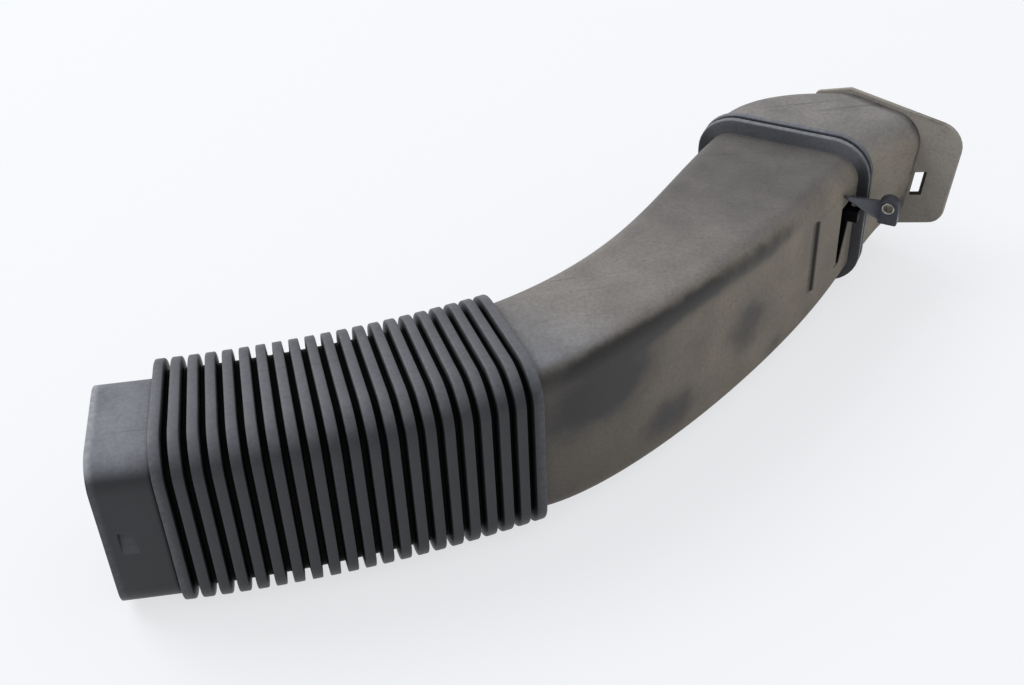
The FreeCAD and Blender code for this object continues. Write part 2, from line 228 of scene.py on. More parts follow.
# %% Sizes of the blown duct
WALL = 1.6
SPIGOT_LENGTH, SPIGOT_WIDTH, SPIGOT_HEIGHT, SPIGOT_CORNER = 36.0, 84.0, 113.0, 18.0
FOLD_COUNT, FOLD_PITCH, FOLD_CREST, FOLD_DEPTH = 21, 10.0, 6.0, 7.0
CREST_WIDTH, CREST_HEIGHT, CREST_CORNER = 97.0, 127.0, 23.0
BELLOWS_TURN, BELLOWS_SIDE, BELLOWS_RISE = 15.0, 2.5, 2.5
FLANGE = np.array([457.2, 217.0])
FLANGE_HEADING = 57.0
FLOOR = BELLOWS_RISE - CREST_HEIGHT / 2
CREST_TOP = FLOOR + CREST_HEIGHT
AHEAD = unit(FLANGE_HEADING)
LEFT = unit(FLANGE_HEADING + 90)
BEND_RADIUS = FOLD_PITCH / math.radians(BELLOWS_TURN / (FOLD_COUNT - 1))
FIRST_FOLD = np.array([SPIGOT_LENGTH + FOLD_CREST / 2, BELLOWS_SIDE])
BEND_CENTRE = FIRST_FOLD + [0.0, BEND_RADIUS]
print("bend radius of the bellows in mm:", round(BEND_RADIUS))

# %% [markdown]
# ## The spigot
# The plain rear end slides into the air cleaner. A small pocket in its outer side takes the catch: its
# floor slopes, deep at the top and level with the side at the bottom. The pocket could be cut with a
# boolean, but moving the grid's own points inwards keeps the wall in one piece, inside and out.

# %% Spigot grid
RIM_ROUND = 0.7
LATCH_INSET, LATCH_LENGTH, LATCH_HEIGHT, LATCH_DEPTH = 9.5, 9.0, 16.0, 4.5
LATCH_SOFT, STRAIGHT_OUT = 0.8, -0.99
SPIGOT_LAP = 0.5
INSIDE_DUST = 0.04


def spigot_rows(x, inset):
    """Stations of the spigot's section along x."""
    half = np.array([0.0, SPIGOT_WIDTH / 2])
    centre = np.column_stack([x, np.zeros_like(x)])
    return rows_of(centre + half, centre - half, -SPIGOT_HEIGHT / 2, SPIGOT_HEIGHT / 2, SPIGOT_CORNER, inset)


def latch_push(grid, out_x, grow):
    """Moves the outer side's points in by the sloped pocket's depth, 0 at its bottom, most at its top."""
    x, y, z = (grid[..., k] for k in range(3))
    in_pocket = band(LATCH_INSET - grow, LATCH_INSET + LATCH_LENGTH + grow, LATCH_SOFT, x)
    in_pocket = in_pocket * band(-LATCH_HEIGHT / 2 - grow, LATCH_HEIGHT / 2 + grow, LATCH_SOFT, z)
    in_pocket = in_pocket * (out_x < STRAIGHT_OUT)
    y += in_pocket * LATCH_DEPTH * np.clip((z + LATCH_HEIGHT / 2) / LATCH_HEIGHT, 0.0, 1.0)
    return in_pocket


spigot_samples = section_samples(8, 16, 8, 110, 10)
rim_x, rim_inset = eased_edge(RIM_ROUND, 4)
latch_edge = np.linspace(-1.0, 1.0, 7)
latch_x = LATCH_INSET + np.concatenate([latch_edge, np.linspace(2.0, LATCH_LENGTH - 2.0, 5),
                                        LATCH_LENGTH + latch_edge])
spigot_end = SPIGOT_LENGTH + SPIGOT_LAP
outside_x = np.concatenate([rim_x, [2.0, 5.0], latch_x, [22.0, 27.0, 32.0, spigot_end]])
inside_x = np.concatenate([[spigot_end, 27.0], latch_x[::-1], [4.0, RIM_ROUND]])
outside_inset = np.concatenate([rim_inset, np.zeros(len(outside_x) - len(rim_x))])
outside = rings(spigot_rows(outside_x, outside_inset), spigot_samples)
inside = rings(spigot_rows(inside_x, WALL), spigot_samples)
in_latch = latch_push(outside, spigot_samples[OUT_ACROSS], 0.0)
latch_push(inside, spigot_samples[OUT_ACROSS], WALL)
spigot_up = smooth_step(0.4, 0.95, spigot_samples[OUT_UP])
spigot_near = smooth_step(0.6, 0.95, -spigot_samples[OUT_ACROSS])
# Dust, most on the top, where it also stands for painted sky sheen; the latch pocket's upward floor gets
# extra film as painted light.
spigot_dust_and_sheen = np.concatenate([0.06 + 0.62 * spigot_up - 0.02 * spigot_near + 0.14 * in_latch,
                              np.full(inside.shape[:2], INSIDE_DUST)])
spigot_wear = np.zeros(spigot_dust_and_sheen.shape)
# Painted highlight with a little rubbed wear along the rim, brightest on top.
spigot_wear[:len(rim_x) + 1] = 0.08 + 0.5 * spigot_up
spigot_grid = np.concatenate([outside, inside])
spigot_shell = tube_shell(spigot_grid, dust=spigot_dust_and_sheen, wear=spigot_wear, wiped=0.28)
print("spigot grid:", spigot_grid.shape[:2])

# %% [markdown]
# ## The bellows
# Each fold is a flat crest with steep walls, so that the duct can flex with the engine. Seen along the
# duct it is one profile: how far the section is drawn in at each distance. The profile of one fold has
# four quarter rounds, and it repeats on an arc. The inside follows it one wall further in. An array of
# one modelled fold along a curve could give the same look, but its copies would meet in open seams.

# %% Fold profile
CREST_ROUND = 0.8
VALLEY_ROUND = 0.5
FOLD_DRAFT = 0.5
INNER_ROUND = 0.4
ROUND_STEPS, INNER_STEPS = 5, 3


def fold_profile(half, top, depth, crest_round, valley_round, steps):
    """One fold: distances from its middle and insets, as quarter rounds from valley to crest and back.

    The walls lean by the draft, so that the gap between two folds is narrower at its foot. The third
    array is 1 on the later of the two rounds in each half."""
    q = np.linspace(0.0, math.pi / 2, steps)
    foot = half + FOLD_DRAFT + valley_round
    rise = np.concatenate([-foot + valley_round * np.sin(q), -half + crest_round * (1 - np.cos(q))])
    inset = np.concatenate([top + depth - valley_round * (1 - np.cos(q)),
                            top + crest_round * (1 - np.sin(q))])
    edge = np.concatenate([np.zeros(steps), np.ones(steps)])
    distance = np.concatenate([rise, -rise[::-1]])
    return distance, np.concatenate([inset, inset[::-1]]), np.concatenate([edge, edge])


def bellows_rows(distance, inset):
    """Stations of the crest's section along the bellows' arc, from the first fold's middle."""
    turn = distance / BEND_RADIUS
    radial = np.column_stack([-np.sin(turn), np.cos(turn)])
    centre = BEND_CENTRE - radial * BEND_RADIUS
    half = radial * (CREST_WIDTH / 2)
    return rows_of(centre + half, centre - half, FLOOR, CREST_TOP, CREST_CORNER, inset)


def folds(profile):
    """The profile of one fold, repeated at the pitch for every fold."""
    starts = np.arange(FOLD_COUNT)[:, None] * FOLD_PITCH
    distance, inset, edge = profile
    return (starts + distance).ravel(), np.tile(inset, FOLD_COUNT), np.tile(edge, FOLD_COUNT)


half_crest = FOLD_CREST / 2
out_profile = fold_profile(half_crest, 0.0, FOLD_DEPTH, CREST_ROUND, VALLEY_ROUND, ROUND_STEPS)
in_profile = fold_profile(half_crest - WALL, WALL, FOLD_DEPTH, INNER_ROUND, INNER_ROUND, INNER_STEPS)
distance, inset, edge = folds(out_profile)
in_distance, in_inset, _ = folds(in_profile)
keep = slice(ROUND_STEPS, -ROUND_STEPS)
last = (FOLD_COUNT - 1) * FOLD_PITCH
print("rows of the folds, outside and inside:", len(distance), len(in_distance))

# %% Bellows grid
bellows_samples = section_samples(6, 8, 6, 10, 11)
rear_edge = spigot_rows(np.array([SPIGOT_LENGTH]), WALL)
front_edge = bellows_rows(np.full(2, last + half_crest), np.array([FOLD_DEPTH, FOLD_DEPTH + WALL]))
outside = np.concatenate([rear_edge, bellows_rows(distance[keep], inset[keep]), front_edge])
rear_inside = spigot_rows(np.array([SPIGOT_LENGTH + WALL]), WALL)
inside = np.concatenate([bellows_rows(in_distance, in_inset)[::-1], rear_inside])
bellows_grid = rings(np.concatenate([outside, inside]), bellows_samples)
bellows_up = smooth_step(0.3, 0.95, bellows_samples[OUT_UP])
row_inset = np.concatenate([outside[:, INSET], np.full(len(inside), FOLD_DEPTH)])
crest_share = 1.0 - np.clip(row_inset / FOLD_DEPTH, 0.0, 1.0)
# Film only on the crests, more on upper faces, as dust and painted sky sheen; the valleys get none and stay
# dark as painted shade.
bellows_dust_and_sheen = crest_share[:, None] ** 2 * (0.05 + 0.25 * bellows_up)
edge_rows = np.concatenate([[0.0], edge[keep], np.zeros(2 + len(inside))])
# Painted highlight on the crest edges, more on top, and on the first and last folds.
outer_edge_highlight = np.zeros(len(edge_rows))
outer_edge_highlight[1:1 + ROUND_STEPS] = 1.0
outer_edge_highlight[len(outside) - 2 - ROUND_STEPS:len(outside) - 2] = 1.0
bellows_wear = edge_rows[:, None] * (0.02 + 0.06 * bellows_up) + 0.1 * outer_edge_highlight[:, None]
# Painted shade: near black down in the valleys between folds.
bellows_deep = smooth_step(0.75, 0.3, crest_share)[:, None]
bellows_shell = tube_shell(bellows_grid, dust=bellows_dust_and_sheen, wear=bellows_wear, deep=bellows_deep)
print("bellows grid:", bellows_grid.shape[:2])

# %% [markdown]
# ## The smooth duct
# From the last fold the duct bends and grows wider up to its end flange. Its outer side carries a raised
# pad, and next to the flange a pocket for the bracket's tongue. A loft with two booleans would do, but would
# leave ragged faces round the cuts. So both are made as the latch pocket was: the outer side's points move
# along one level direction. Rows and columns of the grid are set where the pocket's edges run, and the rows
# slant with its front edge, so that these stay crisp.

# %% Sizes of the smooth duct
DUCT_END_WIDTH, DUCT_END_TOP, DUCT_END_DROP, DUCT_END_CORNER = 108.0, 47.0, 0.4, 17.5
DUCT_MID_RISE, DUCT_MID_SAG, DUCT_MID_CORNER = 1.2, 4.2, 13.0
INNER_HANDLES, INNER_TOE = (93.0, 105.0), 3.5
OUTER_HANDLES, OUTER_TOE = (59.0, 101.0), 5.75
COLLAR_WIDTH, COLLAR_CORNER, COLLAR_TOP = 124.0, 28.0, 58.0
RIDGE, RIDGE_ROUND, RIDGE_FOOT, GROOVE_HALF, GROOVE_DEPTH = 4.2, 0.9, 3.0, 1.5, 2.2
JOINT = RIDGE + GROOVE_HALF
PAD_FROM, PAD_TO, PAD_BOTTOM, PAD_TOP, PAD_STEP = 64.0, 28.0, -24.0, 34.0, 1.6
POCKET_FROM, POCKET_TO, POCKET_TO_LOW, POCKET_DEPTH = 26.0, 3.0, 19.0, 13.0
POCKET_BOTTOM, POCKET_TOP = -28.0, 20.0
LEAD_IN, FLANGE_STEP = 0.6, 0.4
POCKET_SLANT = (POCKET_TO_LOW - POCKET_TO) / (POCKET_TOP - POCKET_BOTTOM)
TURN = unit(BELLOWS_TURN)
TURN_LEFT = unit(BELLOWS_TURN + 90)
DUCT_START = BEND_CENTRE - TURN_LEFT * BEND_RADIUS + TURN * half_crest
ROOT_WIDTH = CREST_WIDTH - 2 * FOLD_DEPTH
ROOT_BOTTOM, ROOT_TOP, ROOT_CORNER = FLOOR + FOLD_DEPTH, CREST_TOP - FOLD_DEPTH, CREST_CORNER - FOLD_DEPTH
print("smooth duct from", DUCT_START.round(1), "to", FLANGE, "in mm")


# %% Walls of the smooth duct
def duct_walls(t):
    """Inner and outer wall in plan: cubic curves from the last fold to the flange."""
    a, b = (DUCT_START + s * TURN_LEFT * (ROOT_WIDTH / 2) for s in (1, -1))
    c, d = (FLANGE + s * LEFT * (DUCT_END_WIDTH / 2) for s in (1, -1))
    inner_end = c - unit(FLANGE_HEADING - INNER_TOE) * INNER_HANDLES[1]
    outer_end = d - unit(FLANGE_HEADING - OUTER_TOE) * OUTER_HANDLES[1]
    inner = bezier(a, a + TURN * INNER_HANDLES[0], inner_end, c, t)
    outer = bezier(b, b + TURN * OUTER_HANDLES[0], outer_end, d, t)
    return inner, outer


def duct_rows(t, inset):
    """Stations of the smooth duct: its walls, and bottom, top and corner that vary as quadratics."""
    inner, outer = duct_walls(t)
    bottom = through(ROOT_BOTTOM, ROOT_BOTTOM - DUCT_MID_SAG, ROOT_BOTTOM - DUCT_END_DROP, t)
    top = through(ROOT_TOP, ROOT_TOP + DUCT_MID_RISE, DUCT_END_TOP, t)
    corner = through(ROOT_CORNER, DUCT_MID_CORNER, DUCT_END_CORNER, t)
    return rows_of(inner, outer, bottom, top, corner, inset)


def collar_rows(along, inset):
    """Stations of the collar's outline, ahead of the duct's end."""
    centre = FLANGE + np.asarray(along)[:, None] * AHEAD
    half = LEFT * (COLLAR_WIDTH / 2)
    return rows_of(centre + half, centre - half, FLOOR, COLLAR_TOP, COLLAR_CORNER, inset)


# A fine table of the outer wall, to look up its places by their distance back from the flange.
share = np.linspace(0.0, 1.0, 2001)
back_of_share = (FLANGE - duct_walls(share)[1]) @ AHEAD
side_of_share = (FLANGE - duct_walls(share)[1]) @ LEFT


def share_at(back):
    """Share of the length at which the outer wall is this far back from the flange."""
    return np.interp(back, back_of_share[::-1], share[::-1])


def side_at(back):
    """How far across the outer wall is at a distance back from the flange."""
    return np.interp(back, back_of_share[::-1], side_of_share[::-1])


POCKET_FLOOR = side_at(POCKET_FROM) - POCKET_DEPTH
print("pocket floor across in mm:", round(float(POCKET_FLOOR), 1))

# %% Smooth duct grid
EDGE_SOFT = 1.2
SIDE_POINTS, CORNER_POINTS = (14, 16, 22), 10
side_counts = {"above": 16, "edge": 4, "pocket": 30, "below": 10}
near_columns = 2 * side_counts["edge"] + side_counts["above"] + side_counts["pocket"] + side_counts["below"]
duct_samples = section_samples(*SIDE_POINTS, near_columns, CORNER_POINTS)
first_near = sum(SIDE_POINTS) + 3 * (CORNER_POINTS + 1)


def pocket_columns(stations):
    """Heights of the outer side's columns: spread from the corners to the pocket's edges, even within it."""
    low = (stations[:, BOTTOM] + stations[:, CORNER])[:, None]
    high = (stations[:, TOP] - stations[:, CORNER])[:, None]
    ones = np.ones_like(low)
    upper, lower = POCKET_TOP + EDGE_SOFT / 2, POCKET_BOTTOM - EDGE_SOFT / 2
    spread = np.linspace(0.0, 1.0, side_counts["above"] + 2)[1:-1]
    above = high + (upper - high) * spread
    edge_above = ones * np.linspace(upper, upper - EDGE_SOFT, side_counts["edge"])
    middle = ones * np.linspace(upper - EDGE_SOFT, lower + EDGE_SOFT, side_counts["pocket"] + 2)[1:-1]
    edge_below = ones * np.linspace(lower + EDGE_SOFT, lower, side_counts["edge"])
    spread = np.linspace(0.0, 1.0, side_counts["below"] + 2)[1:-1]
    return np.hstack([above, edge_above, middle, edge_below, lower + (low - lower) * spread])


def press_side(grid, near, grow):
    """Raises the pad and sinks the pocket: the outer side's points move across, in soft-edged bands."""
    offset = grid[..., :2] - FLANGE
    back, across, z = -(offset @ AHEAD), -(offset @ LEFT), grid[..., 2]
    face = side_at(PAD_FROM) + (side_at(PAD_TO) - side_at(PAD_FROM)) * (PAD_FROM - back) / (PAD_FROM - PAD_TO)
    on_pad = band(PAD_TO, PAD_FROM, EDGE_SOFT, back) * band(PAD_BOTTOM, PAD_TOP, EDGE_SOFT, z) * near
    rise = on_pad * np.maximum(face + PAD_STEP - grow - across, 0.0) * (grow == 0)
    slanted = POCKET_TO + POCKET_SLANT * (POCKET_TOP - z) - grow * math.hypot(1.0, POCKET_SLANT)
    in_pocket = band(slanted, POCKET_FROM + grow, EDGE_SOFT, back)
    in_pocket = in_pocket * band(POCKET_BOTTOM - grow, POCKET_TOP + grow, EDGE_SOFT, z) * near
    sink = in_pocket * np.minimum(POCKET_FLOOR - grow - across, 0.0)
    grid[..., :2] -= (rise + sink)[..., None] * LEFT
    return in_pocket


SLANT_FADES, ROWS_FROM = -42.0, 24.8
RIM = EDGE_SOFT / 2


def slant_rows(grid, near):
    """Slides the outer side's points along the duct, so that its rows follow the pocket's slanted edge.

    The slide is the product of two ramps: over the rows it is 1 at the edge, and over the columns it is 1
    at the pocket's foot."""
    back = -((grid[..., :2] - FLANGE) @ AHEAD)
    rows = np.interp(back, [0.0, POCKET_TO - RIM, POCKET_TO + RIM, ROWS_FROM], [0.0, 1.0, 1.0, 0.0])
    columns = np.interp(grid[..., 2], [SLANT_FADES, POCKET_BOTTOM, POCKET_TOP], [0.0, 1.0, 0.0])
    slide = near * rows * columns * (POCKET_TO_LOW - POCKET_TO)
    across = side_at(back + slide) - side_at(back)
    grid[..., :2] -= slide[..., None] * AHEAD + across[..., None] * LEFT


rim_rows = np.array([0.4, 0.2, 0.0, -0.2, -0.4, -0.5, -0.6])
pocket_back = np.concatenate([POCKET_FROM + np.linspace(RIM, -RIM, 5),
                              np.linspace(ROWS_FROM, POCKET_TO + RIM, 34), POCKET_TO + rim_rows])
pad_rim = np.linspace(0.9, -0.9, 5)
pad_back = np.concatenate([PAD_FROM + pad_rim, np.linspace(PAD_FROM - 3.0, PAD_TO + 3.0, 14),
                           PAD_TO + pad_rim])
front_shares = share_at(np.concatenate([pocket_back, [1.4, 0.6, 0.0]]))
shares = np.concatenate([np.linspace(0.0, share_at(PAD_FROM + 6.0), 60), share_at(pad_back), front_shares])
inner_shares = np.concatenate([np.linspace(0.0, share_at(POCKET_FROM + 4.0), 26), front_shares])
lead = duct_rows(np.array([0.0]), 0.0)
lead[:, PLAN] -= np.tile(TURN, 2) * LEAD_IN
ridge_along, ridge_inset = eased_edge(RIDGE_ROUND, 4)
flange_along = np.concatenate([[0.0], ridge_along, RIDGE - ridge_along[::-1], [RIDGE, JOINT]])
flange_inset = np.concatenate([[RIDGE_FOOT], ridge_inset, ridge_inset[::-1], [GROOVE_DEPTH, GROOVE_DEPTH]])
end_hole = duct_rows(np.array([1.0]), WALL)
end_hole[:, PLAN] += np.tile(AHEAD, 2) * JOINT
flange_rows = np.concatenate([duct_rows(np.array([1.0]), -FLANGE_STEP),
                              collar_rows(flange_along, flange_inset)])
outer_stations = np.concatenate([lead, duct_rows(shares, 0.0), flange_rows])
inner_stations = np.concatenate([end_hole, duct_rows(inner_shares[::-1], WALL), lead])
inner_stations[-1, INSET] = WALL
stations = np.concatenate([outer_stations, inner_stations])
duct_grid = rings(stations, duct_samples)
near_range = slice(first_near, first_near + near_columns)
duct_grid[:, near_range, 2] = pocket_columns(stations)
near_side = np.zeros(duct_grid.shape[1])
near_side[near_range] = 1.0
outer_count = len(outer_stations)
is_wall = np.zeros((len(stations), 1))
is_wall[:len(shares) + 1] = 1.0
near_wall = near_side * is_wall[:outer_count]
slant_rows(duct_grid[:outer_count], near_wall)
in_pocket = press_side(duct_grid[:outer_count], near_wall, 0.0)
press_side(duct_grid[outer_count:], near_side, WALL)
print("smooth duct grid:", duct_grid.shape[:2])

# %% [markdown]
# ## Dust, wiped patches and painted light on the smooth duct
# The side that faced the wheel arch is beige with dust. Hands have wiped a few dark patches into it, and
# three long ovals under the upper corner paint its shade. Each patch is a soft oval on the outer side, given
# by how far back it is from the flange, its height, its two half lengths and its strength. They could be
# painted by hand, but a formula gives the same dust each time and grows with the part. The material breaks
# the ovals' edges up with noise. The collar's top gets painted sheen, and the pocket, the pad's step and
# the groove at the collar get painted shade.

# %% Dust of the smooth duct
# Five wiped patches, then three long thin ovals just under the upper corner: painted shade along it.
WIPED_PATCHES_AND_CREASE_SHADE = ((280.0, 24.0, 28.0, 20.0, 0.95), (252.0, 28.0, 26.0, 24.0, 0.85), (214.0, -28.0, 26.0, 17.0, 0.9),
           (140.0, -2.0, 23.0, 22.0, 0.85), (106.0, -42.0, 13.0, 11.0, 0.5), (262.0, 52.0, 50.0, 9.0, 0.8),
           (190.0, 51.0, 55.0, 8.0, 0.9), (120.0, 46.0, 36.0, 7.0, 0.7))
CLEAN_DUST, RIDGE_WEAR_AND_HIGHLIGHT, PAD_LINE = 0.06, 0.26, 1.3


def ovals(patches, along, z):
    """Sum of soft ovals exp(-d^2), with d the distance in half lengths from each patch."""
    total = np.zeros_like(z)
    for at, at_z, length, height, strength in patches:
        total += strength * np.exp(-((along - at) / length) ** 2 - ((z - at_z) / height) ** 2)
    return total


out_x, out_z = duct_samples[OUT_ACROSS], duct_samples[OUT_UP]
duct_up = smooth_step(0.2, 0.9, out_z)
duct_near = smooth_step(0.3, 0.9, -out_x)
back = -((duct_grid[..., :2] - FLANGE) @ AHEAD)
neck = smooth_step(230.0, 320.0, back)
top_dust = 0.44 + 0.34 * smooth_step(60.0, 190.0, back) - 0.14 * neck
near_dust = 0.32 + 0.5 * smooth_step(320.0, 130.0, back)
duct_dust_and_sheen = top_dust + (near_dust - top_dust) * duct_near
duct_warm = (0.65 - 0.65 * neck) * (1.0 - duct_near) + duct_near
duct_wiped = ovals(WIPED_PATCHES_AND_CREASE_SHADE, back, duct_grid[..., 2]) * duct_near
clean_rows = slice(outer_count - len(flange_rows), outer_count)
# The collar is clean plastic; the film on its top stands for painted sky sheen.
duct_dust_and_sheen[clean_rows] = CLEAN_DUST + 0.3 * duct_up
duct_warm[clean_rows] = 0.0
duct_dust_and_sheen[outer_count:] = CLEAN_DUST
# Painted shade: the pocket turns near black and the pad's step gets a dark line, and both lose their dust.
deep_in = smooth_step(0.0, 0.05, in_pocket)
pad_step_shade = np.exp(-((back[:outer_count] - PAD_FROM) / PAD_LINE) ** 2) * near_wall
pad_step_shade *= band(PAD_BOTTOM, PAD_TOP, EDGE_SOFT, duct_grid[:outer_count, :, 2])
duct_dust_and_sheen[:outer_count] *= (1.0 - deep_in) * (1.0 - 0.75 * pad_step_shade)
duct_deep = np.zeros(duct_dust_and_sheen.shape)
duct_deep[:outer_count] = np.maximum(deep_in, 0.6 * pad_step_shade)
# Painted shade in the groove where the duct's ridge meets the mouth's.
duct_deep[outer_count - 2:outer_count] = 1.0
duct_wear = np.zeros(duct_dust_and_sheen.shape)
# Rubbed wear and painted highlight on the collar's ridge.
duct_wear[outer_count - len(flange_along) + 3:outer_count - 3] = RIDGE_WEAR_AND_HIGHLIGHT
duct_shell = tube_shell(duct_grid, dust=duct_dust_and_sheen, warm=duct_warm, wiped=duct_wiped, wear=duct_wear,
                        deep=duct_deep)
print("dust on the smooth duct from", duct_dust_and_sheen.min().round(2), "to", duct_dust_and_sheen.max().round(2))

# %% [markdown]
# ## Finish: blown polypropylene under road dust, with painted light
# Blown polypropylene is black with a fine mat grain, and shines a little where it is bare. Years under a
# bonnet leave a beige film of dust on it. So the material mixes the black plastic with dust by the amount
# that each point carries, broken up by noise, and makes crests and rims a little lighter, as rubbed wear
# and painted highlight. Hollows, grooves and slots get painted shade: near black, with less shine. A
# painted picture could show the film too, but it would blur close up, and wouldn't follow a changed shape.


# %% Colour and node helpers
def linear(hex_colour):
    """Linear colour from an sRGB hex value."""
    c = np.array([int(hex_colour[i:i + 2], 16) for i in (1, 3, 5)]) / 255.0
    value = np.where(c <= 0.04045, c / 12.92, ((c + 0.055) / 1.055) ** 2.4)
    return (*value.tolist(), 1.0)


def add_node(tree, kind, inputs=None, **settings):
    """A node with its settings; inputs maps a socket to a value, or to a socket that is linked to it."""
    node = tree.nodes.new(kind)
    for name, value in settings.items():
        setattr(node, name, value)
    for socket, value in (inputs or {}).items():
        if isinstance(value, bpy.types.NodeSocket):
            tree.links.new(value, node.inputs[socket])
        else:
            node.inputs[socket].default_value = value
    return node


def per_metre(size_mm):
    """Noise scale that puts features of about this size on the surface."""
    return 1.0 / (size_mm * MM)


def new_material(name):
    """An empty material with its node tree, its shader and the piece's own coordinates."""
    material = bpy.data.materials.new(name)
    material.use_nodes = True
    tree = material.node_tree
    place = add_node(tree, "ShaderNodeTexCoord").outputs["Object"]
    return material, tree, tree.nodes["Principled BSDF"], place


print("linear value of a middle grey:", round(linear("#808080")[0], 3))


# %% Patterns of the film
# Each pattern has the size of its features in mm, its detail, the part of the noise's range that is used,
# and the two values that this part is stretched to. The real grain is finer than 0.8 mm, and is drawn that
# coarse to show in the render.
PATTERNS = {"cloud": (26.0, 7.0, (0.3, 0.7), (0.84, 1.16)), "speck": (2.2, 4.0, (0.3, 0.7), (0.86, 1.14)),
            "ragged": (13.0, 8.0, (0.3, 0.7), (-0.16, 0.16)), "scratch": (3.0, 3.0, (0.64, 0.76), (0.0, 0.3)),
            "rub_and_glint": (3.5, 5.0, (0.38, 0.62), (0.6, 1.2)), "grain": (0.8, 2.0, (0.0, 1.0), (0.0, 1.0))}
SCRATCH_TURN, SCRATCH_STRETCH = (0.3, 0.62, -0.5), (0.03, 1.0, 1.0)
BARE_FROM, BARE_TO, BARE_MOST = 0.08, 0.96, 0.86
DUST_ROUGHNESS, OPEN_SHINE, PAINTED_SHADE_SHINE, PLASTIC_IOR = 0.85, 0.4, 0.02, 1.49
GRAIN_STRENGTH, GRAIN_HEIGHT, PAINTED_SHADE_BLACK = 0.25, 0.12, "#0d0d0f"
NOISE, MATH, RANGE, MIX = "ShaderNodeTexNoise", "ShaderNodeMath", "ShaderNodeMapRange", "ShaderNodeMix"
# A Mix node's sockets for two colours, and its output for the mixed one, by number.
A, B, MIXED = 6, 7, 2
print("patterns of the film:", ", ".join(PATTERNS))


# %% Dusty plastic
def plastic_with_dust_and_painted_light(name, plastic, film_grey, film_beige, rub_and_highlight, bare_roughness):
    """Black plastic under a film from grey to beige, with wiped patches, scratches, rubbed edges,
    painted highlights and painted shade.

    The film is the point's dust times two noises, less what is wiped off, darkened as painted shade, and
    scratched off. On some tops the dust also stands for painted sky sheen. The film hides the plastic by
    its amount and makes it duller. Rubbed wear and painted highlights lighten crests and rims, and
    painted shade turns hollows black and takes away their shine."""
    material, tree, shader, place = new_material(name)
    carried = [add_node(tree, "ShaderNodeAttribute", attribute_name=layer).outputs["Fac"] for layer in LAYERS]
    dust, warm, wiped, wear, deep = carried
    turned = add_node(tree, "ShaderNodeMapping",
                      {"Vector": place, "Rotation": SCRATCH_TURN, "Scale": SCRATCH_STRETCH}).outputs[0]
    made = {}
    for pattern, (size, detail, used, wanted) in PATTERNS.items():
        where = turned if pattern == "scratch" else place
        raw = add_node(tree, NOISE, {"Vector": where, "Scale": per_metre(size), "Detail": detail})
        made[pattern] = add_node(tree, RANGE, {"Value": raw.outputs["Fac"],
                                               "From Min": used[0], "From Max": used[1],
                                               "To Min": wanted[0], "To Max": wanted[1]}).outputs[0]
    # Wiped patches, and painted shade given through the same layer, take the film away, with ragged edges.
    edge = add_node(tree, MATH, {0: wiped, 1: made["ragged"]}, operation="ADD").outputs[0]
    bare = add_node(tree, RANGE, {"Value": edge, "From Min": BARE_FROM, "From Max": BARE_TO,
                                  "To Max": BARE_MOST}, interpolation_type="SMOOTHSTEP").outputs[0]
    left = [add_node(tree, MATH, {0: 1.0, 1: taken}, operation="SUBTRACT").outputs[0]
            for taken in (bare, made["scratch"])]
    kept = add_node(tree, MATH, {0: left[0], 1: left[1]}, operation="MULTIPLY").outputs[0]
    film = dust
    for factor in (made["cloud"], made["speck"], kept):
        film = add_node(tree, MATH, {0: film, 1: factor}, operation="MULTIPLY", use_clamp=True).outputs[0]
    # Rubbed wear and painted highlight on crests, rims and ridges, broken up by noise.
    worn_and_lit = add_node(tree, MATH, {0: wear, 1: made["rub_and_glint"]}, operation="MULTIPLY", use_clamp=True).outputs[0]
    film_colour = add_node(tree, MIX, {0: warm, A: linear(film_grey), B: linear(film_beige)},
                           data_type="RGBA").outputs[MIXED]
    colour = linear(plastic)
    # The film, then rubbed wear and painted highlight, then painted shade as near black.
    for amount, over in ((film, film_colour), (worn_and_lit, linear(rub_and_highlight)), (deep, linear(PAINTED_SHADE_BLACK))):
        colour = add_node(tree, MIX, {0: amount, A: colour, B: over}, data_type="RGBA").outputs[MIXED]
    rough = add_node(tree, RANGE, {"Value": film, "To Min": bare_roughness,
                                   "To Max": DUST_ROUGHNESS}).outputs[0]
    # Painted shade also loses most of its specular shine.
    shine = add_node(tree, RANGE, {"Value": deep, "To Min": OPEN_SHINE, "To Max": PAINTED_SHADE_SHINE}).outputs[0]
    height = add_node(tree, MATH, {0: made["grain"], 1: made["speck"]}, operation="ADD").outputs[0]
    bump = add_node(tree, "ShaderNodeBump", {"Height": height, "Strength": GRAIN_STRENGTH,
                                             "Distance": GRAIN_HEIGHT * MM}).outputs[0]
    tree.links.new(colour, shader.inputs["Base Color"])
    tree.links.new(rough, shader.inputs["Roughness"])
    tree.links.new(shine, shader.inputs["Specular IOR Level"])
    tree.links.new(bump, shader.inputs["Normal"])
    shader.inputs["IOR"].default_value = PLASTIC_IOR
    return material


# Blown plastic gives the eye a soft dark sheen where it is bare, and a flat grey to beige where dust lies.
blown_plastic = plastic_with_dust_and_painted_light("blown polypropylene under dust and painted light", "#1b1b1e", "#9a9da5", "#8d8477",
                              "#b0b3b8", 0.44)
add_piece("blown_duct", [spigot_shell, bellows_shell, duct_shell], "bellows_duct",
          blown_plastic)

# %% [markdown]
# ## The inlet mouth
# A moulded scoop turns from the collar to the front plate. It starts with its own flange and ridge, which
# are welded to the duct's, and ends in a hole through the plate. A loft could give the turn, but the box
# leans and its ridge is sharp, so its walls are two curves in plan again, on one grid. The last rows flare
# out a little, as the fillet between box and plate does, and each row is sheared by its share of the lean.

